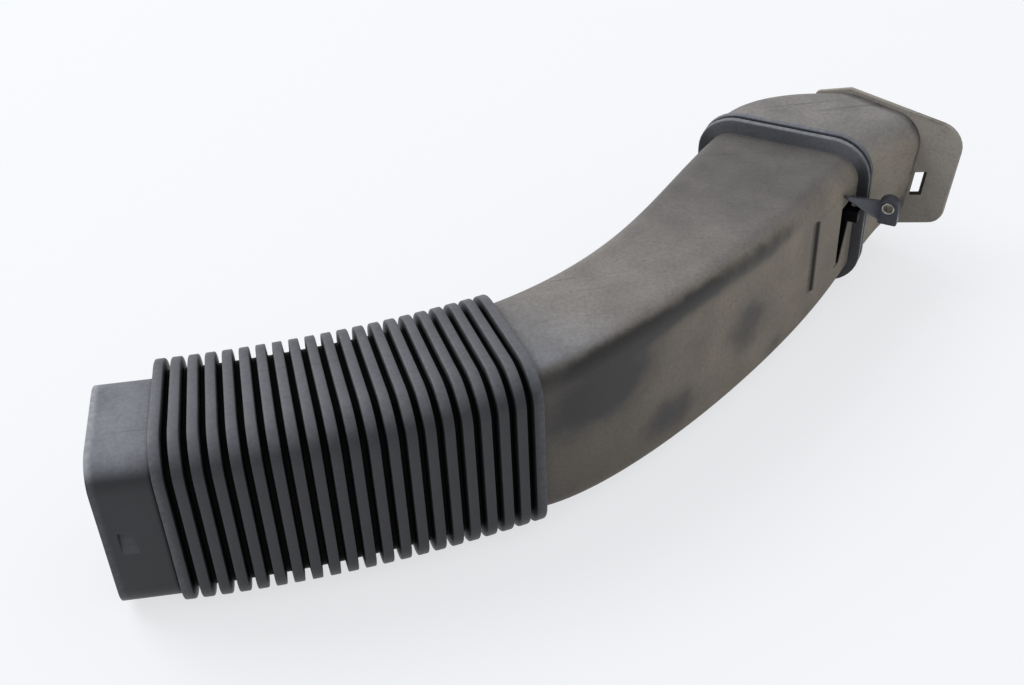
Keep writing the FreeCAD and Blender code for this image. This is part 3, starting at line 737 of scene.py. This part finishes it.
# %% Sizes of the mouth
MOUTH_WALL, MOUTH_STEP, MOUTH_ROOT_CORNER = 2.2, 4.0, 24.0
MOUTH_ROOT = JOINT + GROOVE_HALF + RIDGE
PLATE_HEADING, PLATE_AHEAD, PLATE_SHIFT, PLATE_THICKNESS = 38.4, 68.2, 32.2, 3.0
BOX_LEFT, BOX_RIGHT, BOX_TOP, BOX_BOTTOM, BOX_CORNER = -48.0, 29.6, 53.0, -40.0, 22.0
SIDE_LEAN = math.tan(math.radians(6.0))
FILLET = 0.25
MOUTH_LENGTH = 78.0
LEFT_HANDLES, LEFT_HEADING = (36.0, 31.0), -19.0
RIGHT_HANDLE, RIGHT_HEADINGS = 17.0, (46.0, 24.0)
ROOT_STEP = 0.6
PLATE_AXIS = unit(PLATE_HEADING)
PLATE_RIGHT_AXIS = unit(PLATE_HEADING - 90)
MOUTH_START = FLANGE + AHEAD * MOUTH_ROOT
PLATE = MOUTH_START + PLATE_AXIS * PLATE_AHEAD + PLATE_RIGHT_AXIS * PLATE_SHIFT
print("middle of the front plate in mm:", PLATE.round(1))


# %% Mouth grid
def mouth_rows(t, inset):
    """Stations of the scoop: two cubic walls in plan, bottom and top eased from the collar to the box."""
    a, b = (MOUTH_START + s * LEFT * (COLLAR_WIDTH / 2 - MOUTH_STEP) for s in (1, -1))
    c, d = (PLATE + PLATE_RIGHT_AXIS * across for across in (BOX_LEFT, BOX_RIGHT))
    left = bezier(a, a + AHEAD * LEFT_HANDLES[0], c - unit(LEFT_HEADING) * LEFT_HANDLES[1], c, t)
    leaves, meets = (unit(heading) * RIGHT_HANDLE for heading in RIGHT_HEADINGS)
    right = bezier(b, b + leaves, d - meets, d, t)
    ease = smooth_step(0.0, 1.0, t)
    bottom = FLOOR + MOUTH_STEP + (BOX_BOTTOM - FLOOR - MOUTH_STEP) * ease
    top = COLLAR_TOP - MOUTH_STEP + (BOX_TOP - COLLAR_TOP + MOUTH_STEP) * ease
    corner = MOUTH_ROOT_CORNER + (BOX_CORNER - MOUTH_ROOT_CORNER) * t
    return rows_of(left, right, bottom, top, corner, inset)


mouth_samples = section_samples(20, 24, 26, 24, 12)
ridge_start = JOINT + GROOVE_HALF
root_along = np.concatenate([[JOINT, ridge_start], ridge_start + ridge_along,
                             MOUTH_ROOT - ridge_along[::-1], [MOUTH_ROOT]])
root_inset = np.concatenate([[GROOVE_DEPTH, GROOVE_DEPTH], ridge_inset, ridge_inset[::-1],
                             [MOUTH_STEP - ROOT_STEP]])
flare_along, flare_inset = eased_edge(FILLET, 6)
even_shares = np.linspace(0.0, 0.94, 40)
turn_shares = np.concatenate([even_shares, 1.0 - flare_along[::-1] / MOUTH_LENGTH])
turn_inset = np.concatenate([np.zeros(len(even_shares)), -flare_inset[::-1]])
sunk = mouth_rows(np.array([1.0, 1.0]), np.array([-FILLET, MOUTH_WALL]))
sunk[:, PLAN] += np.tile(PLATE_AXIS, 2) * (PLATE_THICKNESS / 2)
hole = duct_rows(np.array([1.0, 1.0]), WALL)
hole[:, PLAN] += np.tile(AHEAD, 2) * np.array([[MOUTH_ROOT], [JOINT]])
back_shares = np.linspace(1.0, 0.0, 24)
stations = np.concatenate([collar_rows(root_along, root_inset), mouth_rows(turn_shares, turn_inset), sunk,
                           mouth_rows(back_shares, MOUTH_WALL), hole])
mouth_grid = rings(stations, mouth_samples)
lean_share = np.concatenate([np.zeros(len(root_along)), turn_shares, [1.0, 1.0], back_shares, [0.0, 0.0]])
lean = SIDE_LEAN * smooth_step(0.0, 1.0, lean_share)[:, None] * mouth_grid[..., 2]
outwards = stations[:, 2:4] - stations[:, 0:2]
outwards /= np.linalg.norm(outwards, axis=1)[:, None]
mouth_grid[..., :2] += lean[..., None] * outwards[:, None, :]
print("mouth grid:", mouth_grid.shape[:2])

# %% [markdown]
# ## Dust, finish and painted light of the mouth
# The mouth is the dirtiest piece, because it draws the air in. Its dust is set like the duct's: an amount for
# the sides and the top, and soft ovals, given by their share of the turn and their height. Two are wiped
# patches, one at the joint with the plate paints the shade there, and one darkens the top near the plate.
# The ridge's top gets painted sheen and highlight, and its grooves painted shade. The same material is used
# with a paler film. Moulded plastic gives the eye a flatter, paler surface than blown.

# %% Dust of the mouth
# The first and third are wiped patches; the second, a thin band at the joint with the plate, is painted shade
# there; the fourth darkens the top near the plate.
MOUTH_PATCHES_AND_JOIN_SHADE = ((0.9, -22.0, 0.14, 18.0, 0.8), (0.99, 26.0, 0.03, 34.0, 0.7), (0.62, 26.0, 0.1, 10.0, 0.3),
                 (0.95, 54.0, 0.07, 14.0, 0.55))
root_count, turn_count = len(root_along), len(turn_shares)
mouth_share = np.zeros((len(stations), 1))
mouth_share[root_count:root_count + turn_count, 0] = turn_shares
mouth_up = smooth_step(0.2, 0.9, mouth_samples[OUT_UP])
mouth_dust_and_sheen = np.full(mouth_grid.shape[:2], 0.92) - 0.2 * mouth_up
mouth_warm = np.full(mouth_grid.shape[:2], 0.85) - 0.3 * mouth_up
mouth_wiped = ovals(MOUTH_PATCHES_AND_JOIN_SHADE, mouth_share, mouth_grid[..., 2])
# The mouth's flange and ridge are clean plastic; the film on their top stands for painted sky sheen.
mouth_dust_and_sheen[:root_count] = CLEAN_DUST + 0.2 * mouth_up
mouth_warm[:root_count] = 0.0
mouth_dust_and_sheen[root_count + turn_count:] = CLEAN_DUST
mouth_wear = np.zeros(mouth_dust_and_sheen.shape)
# Rubbed wear and painted highlight on the ridge.
mouth_wear[4:root_count - 3] = RIDGE_WEAR_AND_HIGHLIGHT
mouth_deep = np.zeros(mouth_dust_and_sheen.shape)
# Painted shade in the groove at the joint, and a weaker line where the ridge steps down to the scoop.
mouth_deep[:2] = 1.0
mouth_deep[root_count - 1] = 0.6
mouth_shell = tube_shell(mouth_grid, dust=mouth_dust_and_sheen, warm=mouth_warm, wiped=mouth_wiped, wear=mouth_wear,
                         deep=mouth_deep)
moulded_plastic = plastic_with_dust_and_painted_light("moulded polypropylene under dust and painted light", "#1f2023", "#989da8", "#9c917e",
                                "#a9adb4", 0.46)
add_piece("scoop_mouth", [mouth_shell], "inlet_mouth", moulded_plastic)

# %% [markdown]
# ## Flat mouldings
# The front plate and the bracket are flat mouldings: an outline with holes, given a thickness and rounded
# edges. A bevel modifier could round them, but its width depends on the mesh. Here each loop of the
# outline is carried through the thickness along a small profile, drawn in at both faces, and only the flat
# faces are filled with triangles.


# %% Rounded slabs
def rounded_outline(corners, steps):
    """Closed outline from corners of (x, y, radius): each corner is an arc that touches both sides."""
    p = np.array(corners, float)
    before, after = np.roll(p, 1, axis=0), np.roll(p, -1, axis=0)
    runs = []
    for here, prior, following in zip(p, before, after):
        to_prior, to_next = (v / np.linalg.norm(v) for v in (prior[:2] - here[:2], following[:2] - here[:2]))
        half = math.acos(np.clip(to_prior @ to_next, -1, 1)) / 2
        middle = (to_prior + to_next) / np.linalg.norm(to_prior + to_next)
        centre = here[:2] + middle * here[2] / math.sin(half)
        sweep = np.linspace(-1.0, 1.0, steps)[:, None] * (math.pi / 2 - half)
        across = (to_next - to_prior) / np.linalg.norm(to_next - to_prior)
        runs.append(centre + here[2] * (np.sin(sweep) * across - np.cos(sweep) * middle))
    return np.vstack(runs)


def drawn_in(loop, distance):
    """The loop moved inwards along its mitred normals; a hole runs the other way round, so it grows."""
    step = np.roll(loop, -1, axis=0) - loop
    step /= np.linalg.norm(step, axis=1)[:, None]
    after = np.column_stack([step[:, 1], -step[:, 0]])
    before = np.roll(after, 1, axis=0)
    mitre = (before + after) / (1.0 + np.einsum("ij,ij->i", before, after))[:, None]
    return loop - mitre * distance


def rounded_slab(loops, origin, axes, thickness, edge, sweeps=(0.0, 0.0, 0.0), **layers):
    """Outline and holes carried through the thickness along a profile with two quarter rounds.

    The edge is one rounding for all loops, or one for each. A loop may slide sideways on the way: its
    sweep is the shift per unit of depth. Each layer is a formula that gives the value of the points from
    their places on the slab."""
    points, faces, near_loops, far_loops = [], [], [], []
    start = 0
    for loop, sweep, rounding in zip(loops, sweeps, np.broadcast_to(edge, len(loops))):
        along, inset = eased_edge(rounding, 4)
        depth = np.concatenate([[0.0], along, thickness - along[::-1], [thickness]])
        inset = np.concatenate([[rounding * 2], inset, inset[::-1], [rounding * 2]])
        count = len(loop)
        rows = np.stack([np.column_stack([drawn_in(loop, i) + [sweep * d, 0.0], np.full(count, d)])
                         for d, i in zip(depth, inset)])
        faces += (grid_faces(len(depth), count)[:-count] + start).tolist()
        points.append(rows.reshape(-1, 3))
        near_loops.append(list(range(start, start + count)))
        start += len(depth) * count
        far_loops.append(list(range(start - count, start)))
    flat = np.concatenate(points)
    for cap_loops, turned in ((near_loops, -1), (far_loops, 1)):
        caps = geometry.tessellate_polygon([[Vector((*p, 0.0)) for p in flat[run, :2]] for run in cap_loops])
        order = sum(cap_loops, [])
        for cap in caps:
            a, b, c = (flat[order[k], :2] for k in cap)
            area = (b - a)[0] * (c - a)[1] - (b - a)[1] * (c - a)[0]
            faces.append([order[k] for k in (cap if area * turned > 0 else cap[::-1])])
    placed = np.asarray(origin) + flat @ np.asarray(axes)
    return placed, faces, {name: value(flat) for name, value in layers.items()}


def level(direction):
    """A plan direction as a direction in space."""
    return np.array([direction[0], direction[1], 0.0])


UP = np.array([0.0, 0.0, 1.0])
CORNER_STEPS = 8
print("points of each rounded corner:", CORNER_STEPS)

# %% [markdown]
# ## The front plate
# The plate lies against the back of the front panel. It has rounded corners, a foot that slopes up to the
# outer side, the mouth's opening, and a slot for a clip beside the box. The slot goes through at a slant, so
# its loop slides sideways on its way, and at the front only a thin strip parts it from the opening. That is
# why the holes have a smaller rounding than the outline.

# %% Front plate
PLATE_LEFT, PLATE_RIGHT, PLATE_TOP, PLATE_BOTTOM, PLATE_FOOT_RIGHT = -56.0, 60.0, 56.5, -50.0, -22.0
PLATE_CLIP, PLATE_CORNER, PLATE_CLIP_CORNER = 28.0, 16.0, 4.0
PLATE_EDGE, HOLE_EDGE = 0.6, 0.15
RISE = math.tan(math.radians(24.0))
SLOT_WIDTH, SLOT_HEIGHT, SLOT_ACROSS, SLOT_UP, SLOT_ROUND = 10.0, 20.4, 36.6, 2.4, 0.4
SLOT_SWEEP = -math.tan(math.radians(90.0 - PLATE_HEADING))
PLATE_DUST, PLATE_WARM, SLOT_SHADE, SLOT_SKIN = 0.95, 0.7, 0.85, 0.1
DARKER_BESIDE, DARKER_WIDTH, DARKER_FROM, DARKER_TO, DARKER_MOST = 7.0, 8.0, 5.0, 45.0, 0.8
foot_left = PLATE_RIGHT - (PLATE_FOOT_RIGHT - PLATE_BOTTOM) / RISE
outline = rounded_outline([(PLATE_LEFT, PLATE_BOTTOM, PLATE_CORNER),
                           (foot_left, PLATE_BOTTOM, PLATE_CLIP_CORNER),
                           (PLATE_RIGHT + SIDE_LEAN * PLATE_FOOT_RIGHT, PLATE_FOOT_RIGHT, PLATE_CORNER),
                           (PLATE_RIGHT + SIDE_LEAN * PLATE_TOP, PLATE_TOP, PLATE_CORNER),
                           (PLATE_LEFT + PLATE_CLIP, PLATE_TOP, PLATE_CLIP_CORNER),
                           (PLATE_LEFT, PLATE_TOP - RISE * PLATE_CLIP, PLATE_CLIP_CORNER)], CORNER_STEPS)


def slanted_hole(centre, half_width, half_height, radius):
    """Rounded parallelogram about a centre, from two half edges, that runs clockwise, as a hole does."""
    turns = ((-1, -1), (-1, 1), (1, 1), (1, -1))
    middle, wide, high = (np.array(v) for v in (centre, half_width, half_height))
    corners = [(*(middle + i * wide + j * high), radius) for i, j in turns]
    return rounded_outline(corners, CORNER_STEPS)


opening = slanted_hole(((BOX_LEFT + BOX_RIGHT) / 2, (BOX_TOP + BOX_BOTTOM) / 2),
                       ((BOX_RIGHT - BOX_LEFT) / 2 - MOUTH_WALL, 0.0),
                       (0.0, (BOX_TOP - BOX_BOTTOM) / 2 - MOUTH_WALL), BOX_CORNER - MOUTH_WALL)
opening[:, 0] += SIDE_LEAN * opening[:, 1]
slot = slanted_hole((SLOT_ACROSS, SLOT_UP), SLOT_WIDTH / 2 / math.hypot(1.0, RISE) * np.array([1.0, RISE]),
                    SLOT_HEIGHT / 2 / math.hypot(1.0, SIDE_LEAN) * np.array([SIDE_LEAN, 1.0]), SLOT_ROUND)


def plate_wiped(flat):
    """Darker beside the box, most towards the top edge."""
    beside = (flat[:, 0] - BOX_RIGHT - DARKER_BESIDE - SIDE_LEAN * flat[:, 1]) / DARKER_WIDTH
    return DARKER_MOST * np.exp(-beside ** 2) * smooth_step(DARKER_FROM, DARKER_TO, flat[:, 1])


def slot_deep(flat):
    """Painted shade on the points inside the slot, between the two faces, and 0 elsewhere."""
    across = np.abs(flat[:, 0] - SLOT_ACROSS - SLOT_SWEEP * flat[:, 2]) < SLOT_WIDTH
    inside = np.abs(flat[:, 2] - PLATE_THICKNESS / 2) < PLATE_THICKNESS / 2 - SLOT_SKIN
    return SLOT_SHADE * (across & inside & (np.abs(flat[:, 1] - SLOT_UP) < SLOT_HEIGHT))


def all_over(amount):
    """A layer with one value on every point."""
    return lambda flat: np.full(len(flat), amount)


plate_axes = (level(PLATE_RIGHT_AXIS), UP, level(PLATE_AXIS))
plate_shell = rounded_slab([outline, opening, slot], level(PLATE), plate_axes, PLATE_THICKNESS,
                           (PLATE_EDGE, HOLE_EDGE, HOLE_EDGE), (0.0, 0.0, SLOT_SWEEP),
                           dust=all_over(PLATE_DUST), warm=all_over(PLATE_WARM), wiped=plate_wiped,
                           deep=slot_deep)
add_piece("mouth_plate", [plate_shell], "inlet_mouth", moulded_plastic)

# %% [markdown]
# ## The bracket
# A small clean moulding plugs into the duct's side with a tongue. A web runs from its eye back along the
# duct. It could be one carved block, but as three rounded slabs each part keeps its own plane. Moulded
# polyamide is darker and bluer than the duct, and gives the eye a faint even shine.

# %% Bracket
LUG_OUT, LUG_UP, LUG_RADIUS, LUG_DROP, LUG_NEAR, LUG_THICKNESS = 15.0, 11.0, 7.2, 13.6, 2.0, 8.0
LUG_ACROSS = COLLAR_WIDTH / 2 + LUG_OUT
WEB_THICKNESS, WEB_TIP_BACK, WEB_TIP_CLEAR, WEB_TIP_UP, WEB_TIP_DROP = 4.0, 27.6, 1.2, 35.0, 2.4
WEB_TIP_ACROSS = float(side_at(WEB_TIP_BACK)) + WEB_TIP_CLEAR
TONGUE_BACK, TONGUE_LENGTH, TONGUE_HEIGHT, TONGUE_TOP, TONGUE_ROOT = 19.0, 7.0, 9.0, 17.0, 0.8
BUSH_OUTER, BUSH_BORE, BUSH_STANDOUT, BUSH_CHAMFER = 4.5, 3.2, 0.6, 0.35
LUG_CORNER, WEB_ROOT_CORNER, WEB_TIP_CORNER, TONGUE_CORNER, EYE_PLAY = 1.5, 0.8, 1.0, 0.6, 0.05
LUG_EDGE, WEB_EDGE, TONGUE_EDGE = 0.5, 0.6, 0.4
SMALL_STEPS, TONGUE_STEPS = 5, 4
RIGHT = -LEFT


def at_flange(back, across, up):
    """Point in space measured back from the flange, across to the outer side and up."""
    return level(FLANGE - AHEAD * back + RIGHT * across) + UP * up


film = {"dust": all_over(0.09), "wear": all_over(0.05), "wiped": all_over(0.2)}
eye = at_flange(-LUG_NEAR, LUG_ACROSS, LUG_UP)
arc = unit(np.linspace(0.0, 180.0, 25)) * LUG_RADIUS
foot_corners = [(-LUG_RADIUS, -LUG_DROP, LUG_CORNER), (LUG_RADIUS, -LUG_DROP, LUG_CORNER),
                (LUG_RADIUS, LUG_DROP, LUG_CORNER)]
foot = rounded_outline(foot_corners, SMALL_STEPS)[:2 * SMALL_STEPS]
lug_outline = np.vstack([foot, arc])
eye_hole = unit(np.linspace(0.0, -360.0, 49)[:-1]) * (BUSH_OUTER + EYE_PLAY)
lug = rounded_slab([lug_outline, eye_hole], eye, (level(RIGHT), UP, level(AHEAD)), LUG_THICKNESS,
                   LUG_EDGE, **film)
web_front, web_across = -LUG_NEAR - WEB_THICKNESS, LUG_ACROSS - LUG_RADIUS
web_start = at_flange(web_front, web_across, 0.0)
web_run = at_flange(WEB_TIP_BACK, WEB_TIP_ACROSS, 0.0) - web_start
web_length = float(np.linalg.norm(web_run))
web_run /= web_length
web_outline = rounded_outline([(0.0, LUG_UP - LUG_DROP, WEB_ROOT_CORNER),
                               (web_length, WEB_TIP_UP - WEB_TIP_DROP, WEB_TIP_CORNER),
                               (web_length, WEB_TIP_UP, WEB_TIP_CORNER),
                               (0.0, LUG_UP + LUG_RADIUS / 2, WEB_ROOT_CORNER)], SMALL_STEPS)
web = rounded_slab([web_outline], web_start, (web_run, UP, np.cross(UP, web_run)), WEB_THICKNESS,
                   WEB_EDGE, **film)
splay = (web_across - WEB_TIP_ACROSS) / (WEB_TIP_BACK - web_front)
tongue_end = web_across - splay * (TONGUE_BACK - TONGUE_LENGTH - web_front) + TONGUE_ROOT
tongue_places = ((0.0, 0.0), (TONGUE_LENGTH, 0.0), (TONGUE_LENGTH, TONGUE_HEIGHT), (0.0, TONGUE_HEIGHT))
tongue_outline = rounded_outline([(*place, TONGUE_CORNER) for place in tongue_places], TONGUE_STEPS)
tongue_foot = at_flange(TONGUE_BACK, POCKET_FLOOR, TONGUE_TOP - TONGUE_HEIGHT)
# The tongue sits deep in the pocket and is painted near black as shade.
tongue = rounded_slab([tongue_outline], tongue_foot, (level(AHEAD), UP, level(RIGHT)),
                      float(tongue_end - POCKET_FLOOR), TONGUE_EDGE, deep=all_over(1.0))
bracket_plastic = plastic_with_dust_and_painted_light("moulded polyamide, clean, with painted shade", "#20222a", "#7d8290", "#7d776d", "#8f96a6", 0.34)
add_piece("side_bracket", [lug, web, tongue], "fixing_bracket", bracket_plastic)

# %% [markdown]
# ## The steel bush
# A turned steel bush is pressed into the eye, so that the bolt doesn't crush the plastic. It is a lathe
# shape: a short closed profile turned round the eye's axis. A cylinder with a boolean would give the same,
# without the chamfers. Turned steel gives the eye a grey ring with a blurred bright streak.


# %% Steel bush
def lathe(profile, origin, axis, side, steps):
    """A closed profile of (distance along, radius) turned about an axis."""
    angle = np.linspace(0.0, 2 * math.pi, steps, endpoint=False)
    ring = np.cos(angle)[:, None] * side + np.sin(angle)[:, None] * UP
    return origin + profile[:, 0][:, None, None] * axis + profile[:, 1][:, None, None] * ring[None]


TOOL_MARK, STAIN = 0.5, 3.0
STAINED_FROM, STAINED_TO, STAINED_MOST = 0.45, 0.7, 0.6
BRIGHT_ROUGHNESS, DULL_ROUGHNESS = 0.25, 0.55
BUSH_STEPS, SHARP_FROM = 64, 30.0


def turned_steel(name, steel, grime):
    """Dull turned steel: a metal with fine tool marks, and grime by a fine noise."""
    material, tree, shader, place = new_material(name)
    marks, stain = (add_node(tree, NOISE, {"Vector": place, "Scale": per_metre(size), "Detail": detail})
                    .outputs["Fac"] for size, detail in ((TOOL_MARK, 3.0), (STAIN, 4.0)))
    dirty = add_node(tree, RANGE, {"Value": stain, "From Min": STAINED_FROM, "From Max": STAINED_TO,
                                   "To Max": STAINED_MOST}).outputs[0]
    colour = add_node(tree, MIX, {0: dirty, A: linear(steel), B: linear(grime)},
                      data_type="RGBA").outputs[MIXED]
    rough = add_node(tree, RANGE, {"Value": marks, "To Min": BRIGHT_ROUGHNESS,
                                   "To Max": DULL_ROUGHNESS}).outputs[0]
    tree.links.new(colour, shader.inputs["Base Color"])
    tree.links.new(rough, shader.inputs["Roughness"])
    shader.inputs["Metallic"].default_value = 1.0
    return material


bush_length = LUG_THICKNESS + 2 * BUSH_STANDOUT
cut = BUSH_CHAMFER
bush_profile = np.array([(0.0, BUSH_BORE + cut), (0.0, BUSH_OUTER - cut),
                         (cut, BUSH_OUTER), (bush_length - cut, BUSH_OUTER),
                         (bush_length, BUSH_OUTER - cut), (bush_length, BUSH_BORE + cut),
                         (bush_length - cut, BUSH_BORE), (cut, BUSH_BORE)])
bush_start = eye - level(AHEAD) * BUSH_STANDOUT
bush_grid = lathe(bush_profile, bush_start, level(AHEAD), level(RIGHT), BUSH_STEPS)
bush = add_piece("steel_bush", [tube_shell(bush_grid)], "bracket_bush",
                 turned_steel("turned steel, dull", "#b9b7b0", "#4a4640"))
bush.data.set_sharp_from_angle(angle=math.radians(SHARP_FROM))

# %% [markdown]
# ## The floor
# The duct lies on a plain pale floor, large enough to fill the view from low down. White paper under plain
# light renders as pale grey. So where the camera, or a reflection, sees it, a part of it is a glow of nearly
# white, and the rest is the lit paper, which keeps the duct's shadow. More light would bleach the duct.

# %% Floor
FLOOR_SIZE, GLOW_SHARE = 40.0, 0.7
floor_mesh = bpy.data.meshes.new("floor")
corners = np.array([(-1, -1), (1, -1), (1, 1), (-1, 1)]) * FLOOR_SIZE / 2
floor_mesh.from_pydata([(*corner, FLOOR * MM) for corner in corners.tolist()], [], [(0, 1, 2, 3)])
floor = bpy.data.objects.new("floor", floor_mesh)
bpy.context.scene.collection.objects.link(floor)
paper, tree, shader, place = new_material("white backing paper")
shader.inputs["Base Color"].default_value = linear("#f3f6fa")
shader.inputs["Roughness"].default_value = 0.9
shader.inputs["Specular IOR Level"].default_value = 0.1
path = add_node(tree, "ShaderNodeLightPath").outputs
seen = path["Is Camera Ray"]
for other in (path["Is Glossy Ray"], path["Is Transmission Ray"]):
    seen = add_node(tree, MATH, {0: seen, 1: other}, operation="ADD", use_clamp=True).outputs[0]
lifted = add_node(tree, MATH, {0: seen, 1: GLOW_SHARE}, operation="MULTIPLY").outputs[0]
glow = add_node(tree, "ShaderNodeEmission", {"Color": linear("#fbfcfe"), "Strength": 1.0}).outputs[0]
pale = add_node(tree, "ShaderNodeMixShader", {0: lifted, 1: shader.outputs[0], 2: glow}).outputs[0]
tree.links.new(pale, tree.nodes["Material Output"].inputs["Surface"])
floor_mesh.materials.append(paper)
floor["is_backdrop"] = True
print("floor at a height in mm of", FLOOR)

# %% [markdown]
# ## The light
# A large soft light stands behind the duct on the left, as a window would, and even light comes from all
# round. Small lamps would give hard shadows and bright dots on the plastic.

# %% Light
SKY_STRENGTH = 0.62
WINDOW_PLACE, WINDOW_AIM, WINDOW_SIZE, WINDOW_POWER = (-3.0, 2.4, 4.2), (0.25, 0.08, 0.0), 3.6, 175.0
world = bpy.data.worlds.new("even light")
world.use_nodes = True
bpy.context.scene.world = world
sky = world.node_tree.nodes["Background"]
sky.inputs["Color"].default_value = linear("#f9fafd")
sky.inputs["Strength"].default_value = SKY_STRENGTH


def soft_box(name, place, aim, size, power):
    """A square area light, in metres and watts, turned to a point."""
    lamp = bpy.data.lights.new(name, "AREA")
    lamp.size = size
    lamp.energy = power
    thing = bpy.data.objects.new(name, lamp)
    bpy.context.scene.collection.objects.link(thing)
    thing.location = place
    thing.rotation_euler = (Vector(aim) - Vector(place)).to_track_quat("-Z", "Y").to_euler()
    return thing


window = soft_box("window light", WINDOW_PLACE, WINDOW_AIM, WINDOW_SIZE, WINDOW_POWER)
print("soft light of", window.data.energy, "watts")

# %% [markdown]
# ## The camera
# The camera stands at the angle of the photograph. Its place, its three turns and its focal length were
# worked out from the folds and the collar, so its matrix is set from these numbers and not aimed by eye.

# %% Camera
CAMERA_PLACE = np.array([170.89, -619.37, 591.85])
CAMERA_YAW, CAMERA_PITCH, CAMERA_ROLL = 6.13, 39.55, 2.75
FOCAL_PIXELS, IMAGE_WIDTH = 1454.57, 1024
yaw, pitch, roll = (math.radians(v) for v in (CAMERA_YAW, CAMERA_PITCH, CAMERA_ROLL))
forward = np.array([math.sin(yaw) * math.cos(pitch), math.cos(yaw) * math.cos(pitch), -math.sin(pitch)])
level_right = np.array([math.cos(yaw), -math.sin(yaw), 0.0])
level_down = np.cross(forward, level_right)
right = math.cos(roll) * level_right + math.sin(roll) * level_down
down = -math.sin(roll) * level_right + math.cos(roll) * level_down
lens = bpy.data.cameras.new("camera")
lens.sensor_fit = "HORIZONTAL"
lens.lens = lens.sensor_width * FOCAL_PIXELS / IMAGE_WIDTH
lens.clip_start = 0.01
camera = bpy.data.objects.new("camera", lens)
bpy.context.scene.collection.objects.link(camera)
turn = Matrix(np.column_stack([right, -down, -forward]).tolist()).to_4x4()
camera.matrix_world = Matrix.Translation(Vector(CAMERA_PLACE * MM)) @ turn
bpy.context.scene.camera = camera
bpy.context.scene.view_settings.view_transform = "Standard"
print("focal length in mm:", round(lens.lens, 1))

# %% [markdown]
# ## The two boxes
# The surfaces are meant to stay inside the solids they stand for. Both boxes are worked out, and the last
# line prints how far the shown pieces reach past the CAD box.

# %% Both boxes
shown_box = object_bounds()
below = max(c - s for c, s in zip(cad_box[0], shown_box[0]))
above = max(s - c for c, s in zip(cad_box[1], shown_box[1]))
print("largest reach past the CAD box in mm:", round(max(below, above) / MM, 2))
